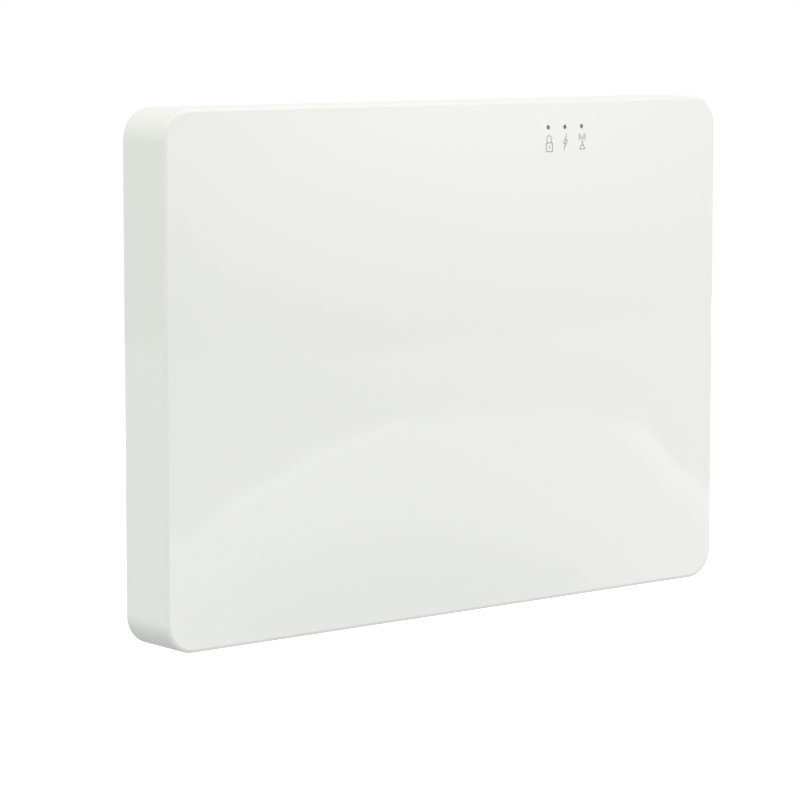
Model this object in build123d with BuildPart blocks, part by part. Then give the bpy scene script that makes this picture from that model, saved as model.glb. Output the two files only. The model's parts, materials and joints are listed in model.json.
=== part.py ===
from build123d import *
import os
from math import sqrt

# Wireless alarm control panel: a thin wall-hung box whose one-piece front cover swings up on
# three hooks at its top edge. Millimetres. X runs along the panel's width, Z is up, and the
# back of the base lies in the plane y = 0. The front faces -Y, so a "depth" is a distance
# from the wall, measured towards the front.

# Cover, the shell that shows
panel_width = 280.0
panel_height = 202.0
corner_radius = 12.0
edge_depth = 26.3  # side wall, from the rear rim to the start of the domed front
dome_rise = 3.5  # how far the middle of the front stands out past its edge
front_edge_radius = 1.4
side_wall = 2.4
front_wall = 2.5
wall_gap = 2.0  # shadow gap between the rim and the wall
rib_thickness = 1.2
rib_height = 2.2

# Base
plate_thickness = 2.5
base_clearance = 0.5
upstand_gap = 1.0  # between the wall round the base and the boards above it
upstand_thickness = 2.0
base_corner_radius = 9.0
wall_hole_radius = 2.3
wall_hole_spacing_x = 114.0
wall_hole_spacing_z = 120.0
wall_boss_radius = 6.0
wall_boss_height = 1.5

# Hinge at the top edge: hooks in the cover turn on bars in the base
hinge_depth = 6.0
hinge_drop = 1.5  # axis below the inner face of the cover's top wall
hinge_pitch = 105.0
hinge_bar_radius = 1.2
hinge_running_gap = 0.1
hook_width = 10.0
hook_wall = 1.6
cheek_thickness = 2.5
cheek_gap = 0.4
cheek_board_gap = 0.8  # behind the boards that stand over the cheeks
cheek_foot = 8.0

# Captive screws that hold the cover's bottom edge to open forks in the base
cover_screw_x = 118.0
cover_screw_depth = 12.0
screw_radius = 1.5
screw_head_radius = 2.75
screw_head_height = 2.0
screw_head_recess = 2.0
screw_length = 11.5
screw_hole_radius = 1.65
screw_slip = 0.05
boss_radius = 4.5
fork_thickness = 2.5
fork_gap_below = 0.6
fork_gap_above = 0.4
fork_reach = 16.0
fork_width = 14.0
nut_width = 5.5
nut_height = 2.4
nut_clearance = 0.1
carrier_width = 9.0
carrier_height = 5.2

# Indicators
indicator_pitch = 9.0
indicator_middle_x = 55.5
indicator_z = 90.0
indicator_hole_radius = 0.9
light_pin_radius = 0.8
light_pin_recess = 0.3
light_rod_radius = 1.6
light_gap = 0.4  # between a light rod and its lamp
light_web_thickness = 1.5
lamp_height = 1.9
peg_radius = 1.25
peg_offset = 6.5  # from an outer indicator to its peg
holder_height = 7.6

# Boards
board_thickness = 1.6
board_depth = 8.0  # rear face of both boards
standoff_radius = 3.5
standoff_hole_radius = 1.25
main_board_width = 181.0
main_board_height = 123.5
main_board_x = 40.5
main_board_top = 93.5
power_board_width = 68.0
power_board_height = 82.0
power_board_x = -97.0
power_board_z = 47.0
board_screw_inset = 5.0
access_hole_radius = 5.5

# Battery pack of round cells, side by side
cell_count = 6
cell_radius = 7.1
cell_gap = 0.2
cell_length = 50.0
cell_cap_radius = 2.6
cell_cap_height = 0.8
sleeve_wall = 0.35
sleeve_slip = 0.05
sleeve_overhang = 0.6
battery_boss_lap = 0.5  # how far the pack's round side reaches over a wall screw's boss
battery_z = -60.0
battery_seat_gap = 0.3
bay_wall = 1.5
bay_strap_gap = 0.5
bay_clearance = 0.5

# Strap over the battery
strap_width = 10.0
strap_thickness = 1.8
strap_gap = 0.3
strap_foot_length = 10.7
strap_screw_offset = 7.0  # from the side of the battery
strap_offset = 14.0  # above the middle of the battery

# Sounder
sounder_x = 86.0
sounder_z = -60.0
sounder_radius = 22.0
sounder_height = 13.0
sounder_cup_wall = 1.5
sounder_cup_height = 5.0
sound_slot_count = 7
sound_slot_pitch = 5.0
sound_slot_width = 2.0
sound_slot_length = 14.0

# Mains cable entry and clamp
entry_x = -97.0
entry_z = -42.0
entry_radius = 10.0
entry_collar_wall = 2.0
entry_collar_height = 3.0
clamp_z = -14.0
clamp_screw_spacing = 26.0
clamp_thickness = 3.0
clamp_height = 8.0
clamp_arch = 4.0
knockout_z = -90.0
knockout_width = 40.0
knockout_height = 9.0
knockout_groove = 0.8
knockout_groove_depth = 0.9

# Moving switches
tamper_x = -38.0
tamper_z = -17.0
tamper_radius = 2.0
tamper_travel = 1.5
tamper_tip_depth = 17.0
tamper_body_height = 6.0
post_gap = 0.3
wall_tamper_x = 0.0
wall_tamper_z = 40.0
wall_switch_gap = 0.5
wall_tamper_end_gap = 0.4
wall_tamper_roof = 0.6  # of the switch body, over the plunger
reset_x = 84.0
reset_z = -21.0
reset_radius = 1.7
reset_travel = 0.4
reset_body_height = 3.6
reset_standout = 1.4
slider_x = 101.0
slider_z = -21.0
slider_travel = 2.0
slider_size = 2.0
slider_height = 3.8
slider_slot_depth = 2.2
switch_body_height = 3.8
running_gap = 0.1
plunger_hole_gap = 0.3

# Card holder with a hinged metal lid
sim_x = 60.0
sim_z = 6.0
sim_base_thickness = 1.4
sim_floor_thickness = 0.6
sim_card_width = 12.0
sim_card_length = 14.6
sim_card_thickness = 0.76
sim_card_gap = 0.2
sim_lid_width = 15.9
sim_lid_length = 14.5
sim_lid_thickness = 0.3
sim_lid_gap = 0.3
sim_pin_radius = 0.4
sim_ear_radius = 0.9
sim_ear_thickness = 0.5

# Network socket
jack_length = 21.0
jack_width = 16.0
jack_height = 13.4
jack_z = 6.0
jack_mouth_width = 11.8
jack_mouth_height = 7.6
jack_mouth_length = 14.0
jack_mouth_rise = 0.4  # middle of the mouth in front of the middle of the socket
latch_width = 6.2
latch_height = 1.8

# Fuse
fuse_length = 20.0
fuse_radius = 2.6
fuse_height = 5.5  # its axis above the board
fuse_clip_height = 5.2
fuse_foot_thickness = 1.6

# Transformer, its core standing on the feet of the winding's bobbin
transformer_width = 25.0
transformer_length = 22.0
transformer_leg = 3.5
transformer_core_height = 9.6
transformer_foot = 2.9
transformer_slip = 0.1
winding_gap = 0.2
winding_rise = 13.6

# Headers and leads
header_size = 6.0
header_height = 5.0
lead_radius = 0.7
lead_spacing = 2.2
lead_height = 2.5  # its axis above the board
lead_bend = 4.0
battery_header_x = 30.0
sounder_header_x = 74.0
dc_header_z = 71.0

# Worked out from the sizes above
rim_depth = wall_gap
crease_depth = rim_depth + edge_depth
inner_crease = crease_depth - front_wall
inner_top = panel_height / 2 - side_wall
inner_bottom = -inner_top
hinge_z = inner_top - hinge_drop
swing_radius = sqrt((hinge_depth - rim_depth) ** 2 + (hinge_drop + side_wall) ** 2)
base_half_width = panel_width / 2 - side_wall - base_clearance
base_bottom = inner_bottom + base_clearance
base_top = hinge_z - swing_radius - 0.3
board_front = board_depth + board_thickness
upstand_height = board_depth - plate_thickness - upstand_gap
bay_height = board_depth - plate_thickness - bay_strap_gap
wall_switch_depth = plate_thickness + wall_switch_gap
wall_bore_end = board_depth - wall_tamper_roof
main_board_z = main_board_top - main_board_height / 2
main_board_left = main_board_x - main_board_width / 2
main_board_bottom = main_board_top - main_board_height
screw_seat_z = -panel_height / 2 + screw_head_recess + screw_head_height
fork_bottom = screw_seat_z + 4.0
fork_top = fork_bottom + fork_thickness
boss_top = fork_bottom - fork_gap_below
carrier_bottom = fork_top + fork_gap_above
nut_bottom = carrier_bottom + 1.1
cell_pitch = 2 * cell_radius + cell_gap
battery_radius = cell_radius + sleeve_slip + sleeve_wall
battery_width = (cell_count - 1) * cell_pitch + 2 * battery_radius
battery_axis_depth = plate_thickness + battery_seat_gap + battery_radius
battery_left = -wall_hole_spacing_x / 2 + wall_boss_radius - battery_boss_lap
battery_x = battery_left + battery_width / 2
battery_top = battery_z + cell_length / 2
bay_width = battery_width + 2 * bay_clearance
bay_length = cell_length + 2 * cell_cap_height + 2 * bay_clearance
lamp_front = board_front + lamp_height
lead_depth = board_front + lead_height
indicator_xs = [indicator_middle_x + step * indicator_pitch for step in (-1, 0, 1)]
hinge_xs = [step * hinge_pitch for step in (-1, 0, 1)]
cheek_front = hinge_depth + hinge_bar_radius
cheek_low_front = board_depth - cheek_board_gap
peg_spots = [(indicator_xs[0] - peg_offset, indicator_z), (indicator_xs[2] + peg_offset, indicator_z)]
wall_hole_spots = [
    (x * wall_hole_spacing_x / 2, z * wall_hole_spacing_z / 2) for x in (-1, 1) for z in (-1, 1)
]


def at_depth(depth):
    """Plane parallel to the wall: sketch x is X, sketch y is Z, and extruding goes forward."""
    return Plane.XZ.offset(depth)


def side_plane(x):
    """Plane square to X: sketch x is depth, sketch y is Z."""
    return Plane(origin=(x, 0, 0), x_dir=(0, -1, 0), z_dir=(-1, 0, 0))


def point(x, depth, z):
    return (x, -depth, z)


def dome_at(x, z):
    """How far the front stands out past its edge at a place on it."""
    return dome_rise * (1 - (2 * x / panel_width) ** 2) * (1 - (2 * z / panel_height) ** 2)


def domed_block(inset, back, edge):
    """The panel's outline moved in by inset, from depth back to a front domed from depth edge."""
    reach = 1.1
    bulge = [1 - reach**2, 1 + reach**2, 1 - reach**2]
    columns = [-reach * panel_width / 2, 0, reach * panel_width / 2]
    rows = [-reach * panel_height / 2, 0, reach * panel_height / 2]
    grid = [
        [point(x, edge + dome_rise * bulge[i] * bulge[j], z) for j, z in enumerate(rows)]
        for i, x in enumerate(columns)
    ]
    front = Face.make_bezier_surface(grid)
    with BuildPart() as block:
        with BuildSketch(at_depth(back)):
            RectangleRounded(panel_width - 2 * inset, panel_height - 2 * inset, corner_radius - inset)
        extrude(amount=edge - back + 2 * dome_rise)
        extrude(front, amount=4 * dome_rise + 10, dir=(0, -1, 0), mode=Mode.SUBTRACT)
    return block


def boxed(x, z, width, height, foot, rise, edge=0.25):
    """A moulded block standing on depth foot, with its front edges broken."""
    with BuildPart() as block:
        with BuildSketch(at_depth(foot)):
            with Locations((x, z)):
                Rectangle(width, height)
        extrude(amount=rise)
        if edge:
            chamfer(block.faces().sort_by(Axis.Y)[0].edges(), edge)
    return block.part


def drum(x, z, radius, foot, rise, edge=0.4):
    """A round can standing on depth foot, with its front edge rounded."""
    with BuildPart() as can:
        with BuildSketch(at_depth(foot)):
            with Locations((x, z)):
                Circle(radius)
        extrude(amount=rise)
        fillet(can.faces().sort_by(Axis.Y)[0].edges(), edge)
    return can.part


def board_screw(x, z, seat, shank=5.0):
    """A pan-head screw square to the wall, its head seated on depth seat."""
    with BuildPart() as screw:
        with BuildSketch(at_depth(seat)):
            with Locations((x, z)):
                Circle(screw_head_radius)
        extrude(amount=screw_head_height)
        fillet(screw.faces().sort_by(Axis.Y)[0].edges(), 0.7)
        with BuildSketch(at_depth(seat - shank)):
            with Locations((x, z)):
                Circle(standoff_hole_radius - screw_slip)
        extrude(amount=shank)
        with BuildSketch(at_depth(seat + screw_head_height)):
            with Locations((x, z)):
                Rectangle(3.0, 0.7)
                Rectangle(0.7, 3.0)
        extrude(amount=-1.1, mode=Mode.SUBTRACT)
    return screw.part


def lead(points, radius, bends):
    """An insulated wire along straight runs joined by tangent arcs."""
    with BuildPart() as wire:
        with BuildLine() as route:
            FilletPolyline(*[point(*spot) for spot in points], radius=bends)
        with BuildSketch(Plane(origin=route.line @ 0, z_dir=route.line % 0)):
            Circle(radius)
        sweep()
    return wire.part


def finish(part, label):
    part.label = label
    export_step(part, f"parts/{label}.step")


os.makedirs("parts", exist_ok=True)

# Front cover: everything moulded inside the shell is made first and cut to the middle of the
# wall, so that it merges with the domed front wherever it stands.
with BuildPart() as cover_inside:
    # stiffening ribs
    with BuildSketch(at_depth(inner_crease - rib_height + 1.0)):
        with GridLocations(70.0, 1, 4, 1):
            Rectangle(rib_thickness, panel_height)
        with GridLocations(1, 56.0, 1, 3):
            Rectangle(panel_width, rib_thickness)
    extrude(amount=front_wall + 2 * dome_rise)
    # post that holds the tamper plunger down
    with BuildSketch(at_depth(tamper_tip_depth + post_gap)):
        with Locations((tamper_x, tamper_z)):
            Circle(3.0)
            Rectangle(12.0, rib_thickness)
            Rectangle(rib_thickness, 12.0)
    extrude(amount=2 * front_wall + 2 * dome_rise + 4)
    # pegs that carry the light guide holder
    with BuildSketch(at_depth(board_front + 3.0)):
        with Locations(*peg_spots):
            Circle(peg_radius)
    extrude(amount=edge_depth - board_front + dome_rise)
    # nut carriers, reaching back from the front to above each fork
    with BuildSketch(at_depth(cover_screw_depth - 3.0)):
        with Locations(*[(x * cover_screw_x, carrier_bottom + carrier_height / 2) for x in (-1, 1)]):
            Rectangle(carrier_width, carrier_height)
    extrude(amount=edge_depth)
    # screw bosses on the bottom wall
    for x in (-cover_screw_x, cover_screw_x):
        with Locations(point(x, cover_screw_depth, inner_bottom - side_wall / 2)):
            Cylinder(
                boss_radius,
                boss_top - inner_bottom + side_wall / 2,
                align=(Align.CENTER, Align.CENTER, Align.MIN),
            )
    # cut to the middle of the wall
    trim = domed_block(side_wall / 2, rim_depth + 1.0, crease_depth - front_wall / 2)
    add(trim.part, mode=Mode.INTERSECT)

with BuildPart() as front_cover:
    shell =domed_block(0, rim_depth, crease_depth)
    add(shell.part)
    fillet(front_cover.faces().sort_by(Axis.Y)[0].edges(), front_edge_radius)
    cavity = domed_block(side_wall, rim_depth - 1.0, inner_crease)
    add(cavity.part, mode=Mode.SUBTRACT)
    add(cover_inside.part)
    # hooks on the top wall, open to the rear
    for x in hinge_xs:
        with BuildSketch(side_plane(x)):
            with Locations((hinge_depth, hinge_z)):
                Circle(hinge_bar_radius + hinge_running_gap + hook_wall)
                Circle(hinge_bar_radius + hinge_running_gap, mode=Mode.SUBTRACT)
            with Locations((hinge_depth - 5.0, hinge_z - 5.0 + 1.3)):
                Rectangle(10.0, 10.0, mode=Mode.SUBTRACT)
            with Locations((hinge_depth, inner_top + side_wall / 2 + 5.0)):
                Rectangle(12.0, 10.0, mode=Mode.SUBTRACT)
        extrude(amount=hook_width / 2, both=True)
    # clearance for the bars, where the hooks merge with the top wall
    for x in hinge_xs:
        with BuildSketch(side_plane(x)):
            with Locations((hinge_depth, hinge_z)):
                Circle(hinge_bar_radius + hinge_running_gap)
        extrude(amount=hook_width / 2, both=True, mode=Mode.SUBTRACT)
    # pinholes of the indicators
    with BuildSketch(at_depth(inner_crease - 1.0)):
        with Locations(*[(x, indicator_z) for x in indicator_xs]):
            Circle(indicator_hole_radius)
    extrude(amount=front_wall + 2 * dome_rise, mode=Mode.SUBTRACT)
    # screw holes with sunk seats, and pockets for the nuts, open to the rear
    for x in (-cover_screw_x, cover_screw_x):
        with Locations(point(x, cover_screw_depth, -panel_height / 2 - 1.0)):
            Cylinder(
                screw_hole_radius,
                carrier_bottom + carrier_height + panel_height / 2 + 2.0,
                align=(Align.CENTER, Align.CENTER, Align.MIN),
                mode=Mode.SUBTRACT,
            )
            Cylinder(
                screw_head_radius + 0.4,
                screw_seat_z + panel_height / 2 + 1.0,
                align=(Align.CENTER, Align.CENTER, Align.MIN),
                mode=Mode.SUBTRACT,
            )
        with BuildSketch(Plane.XY.offset(nut_bottom - nut_clearance)):
            with Locations((x, -cover_screw_depth)):
                Rectangle(nut_width + 2 * nut_clearance, nut_width + 2 * nut_clearance)
            with Locations((x, -cover_screw_depth + nut_width)):
                Rectangle(nut_width + 2 * nut_clearance, nut_width)
        extrude(amount=nut_height + 2 * nut_clearance, mode=Mode.SUBTRACT)
    # sound slots through the bottom wall, below the sounder
    with BuildSketch(Plane.XY.offset(-panel_height / 2 - 1.0)):
        with Locations((sounder_x, -(rim_depth + edge_depth / 2))):
            with GridLocations(sound_slot_pitch, 1, sound_slot_count, 1):
                SlotOverall(sound_slot_length, sound_slot_width, rotation=90)
    extrude(amount=side_wall + 2.0, mode=Mode.SUBTRACT)
finish(front_cover.part, "front_cover")

# Light guide: three clear pins on rods, joined by a web behind the front
light_web_front = inner_crease + dome_at(indicator_xs[2], indicator_z) - 0.3
with BuildPart() as light_guide:
    for x in indicator_xs:
        tip = crease_depth + dome_at(x, indicator_z) - light_pin_recess
        with BuildSketch(at_depth(light_web_front - 0.5)):
            with Locations((x, indicator_z)):
                Circle(light_pin_radius)
        extrude(amount=tip - light_web_front + 0.5)
    with BuildSketch(at_depth(light_web_front - light_web_thickness)):
        with Locations((indicator_middle_x, indicator_z)):
            SlotOverall(2 * indicator_pitch + 2 * light_rod_radius, 2 * light_rod_radius)
    extrude(amount=light_web_thickness)
    with BuildSketch(at_depth(lamp_front + light_gap)):
        with Locations(*[(x, indicator_z) for x in indicator_xs]):
            Circle(light_rod_radius)
    extrude(amount=light_web_front - lamp_front - light_gap - 0.5)
finish(light_guide.part, "light_guide")

# Black holder round the light rods, staked on the cover's pegs
with BuildPart() as light_guide_holder:
    holder_back = lamp_front + light_gap + 0.6
    holder_width = 2 * (indicator_pitch + peg_offset + peg_radius + 1.75)
    with BuildSketch(at_depth(holder_back)):
        with Locations((indicator_middle_x, indicator_z)):
            RectangleRounded(holder_width, holder_height, 1.5)
        with Locations(*[(x, indicator_z) for x in indicator_xs]):
            Circle(light_rod_radius + running_gap, mode=Mode.SUBTRACT)
        with Locations(*peg_spots):
            Circle(peg_radius + running_gap, mode=Mode.SUBTRACT)
    extrude(amount=light_web_front - light_web_thickness - running_gap - holder_back)
finish(light_guide_holder.part, "light_guide_holder")

# Captive cover screws and their square nuts
for side, x in (("left", -cover_screw_x), ("right", cover_screw_x)):
    with BuildPart() as cover_screw:
        with Locations(point(x, cover_screw_depth, screw_seat_z)):
            Cylinder(screw_radius, screw_length, align=(Align.CENTER, Align.CENTER, Align.MIN))
            Cylinder(
                screw_head_radius,
                screw_head_height,
                align=(Align.CENTER, Align.CENTER, Align.MAX),
            )
        fillet(cover_screw.faces().sort_by(Axis.Z)[0].edges(), 0.7)
        chamfer(cover_screw.faces().sort_by(Axis.Z)[-1].edges(), 0.4)
        with BuildSketch(Plane.XY.offset(screw_seat_z - screw_head_height)):
            with Locations((x, -cover_screw_depth)):
                Rectangle(3.0, 0.7)
                Rectangle(0.7, 3.0)
        extrude(amount=1.1, mode=Mode.SUBTRACT)
    finish(cover_screw.part, f"cover_screw_{side}")

with BuildPart() as cover_nuts:
    for x in (-cover_screw_x, cover_screw_x):
        with BuildSketch(Plane.XY.offset(nut_bottom)):
            with Locations((x, -cover_screw_depth)):
                Rectangle(nut_width, nut_width)
                Circle(screw_radius + screw_slip, mode=Mode.SUBTRACT)
        extrude(amount=nut_height)
finish(cover_nuts.part, "cover_nuts")

# Base: the moulded back that the wall screws hold
main_screw_left = main_board_left + board_screw_inset
main_screw_right = main_board_left + main_board_width - board_screw_inset
main_screw_low = main_board_bottom + board_screw_inset
main_screw_spots = [
    (main_screw_left, main_board_top - board_screw_inset),
    (main_screw_right, main_board_top - board_screw_inset - 3.0),
    (main_screw_left, 30.0),
    (main_screw_right, main_screw_low),
    (main_board_x + 5.0, main_screw_low),
    (main_board_x - 20.0, main_board_top - 12.0),
]
power_screw_x = power_board_width / 2 - board_screw_inset
power_screw_z = power_board_height / 2 - board_screw_inset
power_screw_spots = [
    (power_board_x + x * power_screw_x, power_board_z + z * power_screw_z)
    for x in (-1, 1)
    for z in (-1, 1)
]
clamp_screw_spots = [(entry_x + x * clamp_screw_spacing / 2, clamp_z) for x in (-1, 1)]
strap_z = battery_z + strap_offset
strap_screw_x = battery_width / 2 + strap_screw_offset
strap_screw_spots = [(battery_x + x * strap_screw_x, strap_z) for x in (-1, 1)]
base_height = base_top - base_bottom
base_middle_z = (base_top + base_bottom) / 2
with BuildPart() as back_box:
    with BuildSketch(at_depth(0)):
        with Locations((0, base_middle_z)):
            RectangleRounded(2 * base_half_width, base_height, base_corner_radius)
    extrude(amount=plate_thickness)
    # low wall round the edge
    with BuildSketch(at_depth(plate_thickness)):
        with Locations((0, base_middle_z)):
            RectangleRounded(2 * base_half_width, base_height, base_corner_radius)
            RectangleRounded(
                2 * (base_half_width - upstand_thickness),
                base_height - 2 * upstand_thickness,
                base_corner_radius - upstand_thickness,
                mode=Mode.SUBTRACT,
            )
    extrude(amount=upstand_height)
    # standoffs of both boards
    with BuildSketch(at_depth(plate_thickness)):
        with Locations(*main_screw_spots, *power_screw_spots):
            Circle(standoff_radius)
    extrude(amount=board_depth - plate_thickness)
    # bosses of the wall screws, the battery strap and the cable clamp
    with BuildSketch(at_depth(plate_thickness)):
        with Locations(*wall_hole_spots):
            Circle(wall_boss_radius)
    extrude(amount=wall_boss_height)
    with BuildSketch(at_depth(plate_thickness)):
        with Locations(*strap_screw_spots, *clamp_screw_spots):
            Circle(standoff_radius)
    extrude(amount=board_depth - plate_thickness)
    # battery bay, with a gap in its upper wall for the leads
    with BuildSketch(at_depth(plate_thickness)):
        with Locations((battery_x, battery_z)):
            Rectangle(bay_width + 2 * bay_wall, bay_length + 2 * bay_wall)
            Rectangle(bay_width, bay_length, mode=Mode.SUBTRACT)
            Rectangle(bay_width / 2, 2 * bay_length, mode=Mode.SUBTRACT)
    extrude(amount=bay_height)
    # cup round the sounder
    with BuildSketch(at_depth(plate_thickness)):
        with Locations((sounder_x, sounder_z)):
            Circle(sounder_radius + bay_clearance + sounder_cup_wall)
            Circle(sounder_radius + bay_clearance, mode=Mode.SUBTRACT)
    extrude(amount=sounder_cup_height)
    # collar round the cable entry
    with BuildSketch(at_depth(plate_thickness)):
        with Locations((entry_x, entry_z)):
            Circle(entry_radius + entry_collar_wall)
    extrude(amount=entry_collar_height)
    # hinge cheeks and bars
    for x in hinge_xs:
        for side in (-1, 1):
            cheek_x = x + side * (hook_width / 2 + cheek_gap + cheek_thickness / 2)
            with BuildSketch(side_plane(cheek_x)):
                with BuildLine():
                    Polyline(
                        (hinge_depth - hinge_bar_radius, hinge_z),
                        (hinge_depth - hinge_bar_radius, base_top),
                        (plate_thickness, base_top - 1.0),
                        (plate_thickness, base_top - cheek_foot),
                        (cheek_low_front, base_top - cheek_foot),
                        (cheek_low_front, main_board_top + cheek_gap),
                        (cheek_front, hinge_z - hinge_bar_radius),
                        (cheek_front, hinge_z),
                    )
                    ThreePointArc(
                        (cheek_front, hinge_z),
                        (hinge_depth, hinge_z + hinge_bar_radius),
                        (hinge_depth - hinge_bar_radius, hinge_z),
                    )
                make_face()
            extrude(amount=cheek_thickness / 2, both=True)
        with BuildSketch(side_plane(x)):
            with Locations((hinge_depth, hinge_z)):
                Circle(hinge_bar_radius)
        extrude(amount=hook_width / 2 + cheek_gap + 0.5, both=True)
    # forks that the cover screws clamp, with their gussets
    for x in (-cover_screw_x, cover_screw_x):
        with BuildSketch(Plane.XY.offset(fork_bottom)):
            with Locations((x, -(plate_thickness + fork_reach) / 2)):
                Rectangle(fork_width, fork_reach - plate_thickness)
            with Locations((x, -cover_screw_depth)):
                Circle(screw_hole_radius + 0.15, mode=Mode.SUBTRACT)
            with Locations((x, -(cover_screw_depth + fork_reach) / 2 - 1.0)):
                Rectangle(
                    2 * screw_hole_radius + 0.3,
                    fork_reach - cover_screw_depth + 2.0,
                    mode=Mode.SUBTRACT,
                )
        extrude(amount=fork_thickness)
        for side in (-1, 1):
            with BuildSketch(side_plane(x + side * (fork_width / 2 - 0.75))):
                Polygon(
                    (plate_thickness, fork_top),
                    (fork_reach - 2.0, fork_top),
                    (plate_thickness, fork_top + 8.0),
                    align=None,
                )
            extrude(amount=0.75, both=True)
    # stiffening ribs of the plate
    with BuildSketch(at_depth(plate_thickness)):
        with Locations((power_board_x, -66.0), (power_board_x, -76.0)):
            Rectangle(52.0, rib_thickness)
        with Locations((power_board_x, power_board_z)):
            Rectangle(rib_thickness, power_board_height - 20.0)
            Rectangle(power_board_width - 14.0, rib_thickness)
        with Locations((main_board_x + 45.0, main_board_z)):
            Rectangle(rib_thickness, main_board_height - 20.0)
        with Locations((main_board_x + 38.0, 18.0)):
            Rectangle(84.0, rib_thickness)
    extrude(amount=rib_height)
    # holes: wall screws, cable entry, wall tamper, board and bracket screws
    with BuildSketch(at_depth(-1.0)):
        with Locations(*wall_hole_spots):
            Circle(wall_hole_radius)
        with Locations((entry_x, entry_z)):
            Circle(entry_radius)
        with Locations((wall_tamper_x, wall_tamper_z)):
            Circle(tamper_radius + plunger_hole_gap)
    extrude(amount=board_depth, mode=Mode.SUBTRACT)
    with BuildSketch(at_depth(board_depth + 0.5)):
        with Locations(*main_screw_spots, *power_screw_spots, *strap_screw_spots, *clamp_screw_spots):
            Circle(standoff_hole_radius)
    extrude(amount=-5.5, mode=Mode.SUBTRACT)
    # grooves round the knock-outs for surface cables, on the wall side
    with BuildSketch(at_depth(0)):
        with Locations((entry_x, knockout_z), (battery_x, knockout_z)):
            RectangleRounded(knockout_width, knockout_height, 2.0)
            RectangleRounded(
                knockout_width - 2 * knockout_groove,
                knockout_height - 2 * knockout_groove,
                2.0 - knockout_groove,
                mode=Mode.SUBTRACT,
            )
    extrude(amount=knockout_groove_depth, mode=Mode.SUBTRACT)
finish(back_box.part, "back_box")

# Main board, its access hole in line with a wall screw
with BuildPart() as main_board:
    with BuildSketch(at_depth(board_depth)):
        with Locations((main_board_x, main_board_z)):
            RectangleRounded(main_board_width, main_board_height, 1.5)
        with Locations(*main_screw_spots):
            Circle(screw_hole_radius, mode=Mode.SUBTRACT)
        with Locations(wall_hole_spots[3]):
            Circle(access_hole_radius, mode=Mode.SUBTRACT)
    extrude(amount=board_thickness)
finish(main_board.part, "main_board")

with BuildPart() as power_board:
    with BuildSketch(at_depth(board_depth)):
        with Locations((power_board_x, power_board_z)):
            RectangleRounded(power_board_width, power_board_height, 1.5)
        with Locations(*power_screw_spots):
            Circle(screw_hole_radius, mode=Mode.SUBTRACT)
    extrude(amount=board_thickness)
finish(power_board.part, "power_board")

with BuildPart() as board_screws:
    for x, z in main_screw_spots + power_screw_spots:
        add(board_screw(x, z, board_front))
finish(board_screws.part, "board_screws")

# Battery pack: cells side by side in one shrink sleeve, open at its ends
cell_xs = [battery_x + (step - (cell_count - 1) / 2) * cell_pitch for step in range(cell_count)]
battery_plane = Plane.XY.offset(battery_z - cell_length / 2)
with BuildPart() as battery_cells:
    with BuildSketch(battery_plane):
        with Locations(*[(x, -battery_axis_depth) for x in cell_xs]):
            Circle(cell_radius)
    extrude(amount=cell_length)
    # positive caps, every second cell the other way up
    for number, x in enumerate(cell_xs):
        end = battery_z + (cell_length / 2 if number % 2 else -cell_length / 2)
        with Locations((x, -battery_axis_depth, end)):
            Cylinder(cell_cap_radius, 2 * cell_cap_height)
finish(battery_cells.part, "battery_cells")

with BuildPart() as battery_sleeve:
    with BuildSketch(battery_plane.offset(-sleeve_overhang)):
        with Locations(*[(x, -battery_axis_depth) for x in cell_xs]):
            Circle(battery_radius)
        with Locations((battery_x, -battery_axis_depth)):
            Rectangle((cell_count - 1) * cell_pitch, 2 * battery_radius - 0.9)
    extrude(amount=cell_length + 2 * sleeve_overhang)
    with BuildSketch(battery_plane.offset(-sleeve_overhang)):
        with Locations(*[(x, -battery_axis_depth) for x in cell_xs]):
            Circle(cell_radius + sleeve_slip)
    extrude(amount=cell_length + 2 * sleeve_overhang, mode=Mode.SUBTRACT)
finish(battery_sleeve.part, "battery_sleeve")

# Strap over the pack, screwed to two bosses
strap_inner_depth = battery_axis_depth + battery_radius + strap_gap
strap_leg_x = battery_width / 2 + strap_gap
strap_foot_x = strap_leg_x + strap_foot_length
with BuildPart() as battery_strap:
    with BuildSketch(Plane.XY.offset(strap_z - strap_width / 2)):
        with Locations((battery_x, 0)):
            Polygon(
                (-strap_foot_x, -board_depth),
                (-strap_leg_x, -board_depth),
                (-strap_leg_x, -strap_inner_depth),
                (strap_leg_x, -strap_inner_depth),
                (strap_leg_x, -board_depth),
                (strap_foot_x, -board_depth),
                (strap_foot_x, -board_depth - strap_thickness),
                (strap_leg_x + strap_thickness, -board_depth - strap_thickness),
                (strap_leg_x + strap_thickness, -strap_inner_depth - strap_thickness),
                (-strap_leg_x - strap_thickness, -strap_inner_depth - strap_thickness),
                (-strap_leg_x - strap_thickness, -board_depth - strap_thickness),
                (-strap_foot_x, -board_depth - strap_thickness),
                align=None,
            )
    extrude(amount=strap_width)
    with BuildSketch(at_depth(board_depth - 1.0)):
        with Locations(*strap_screw_spots):
            Circle(screw_hole_radius)
    extrude(amount=4.0, mode=Mode.SUBTRACT)
finish(battery_strap.part, "battery_strap")

with BuildPart() as strap_screws:
    for x, z in strap_screw_spots:
        add(board_screw(x, z, board_depth + strap_thickness, 5.2))
finish(strap_screws.part, "strap_screws")

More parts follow.
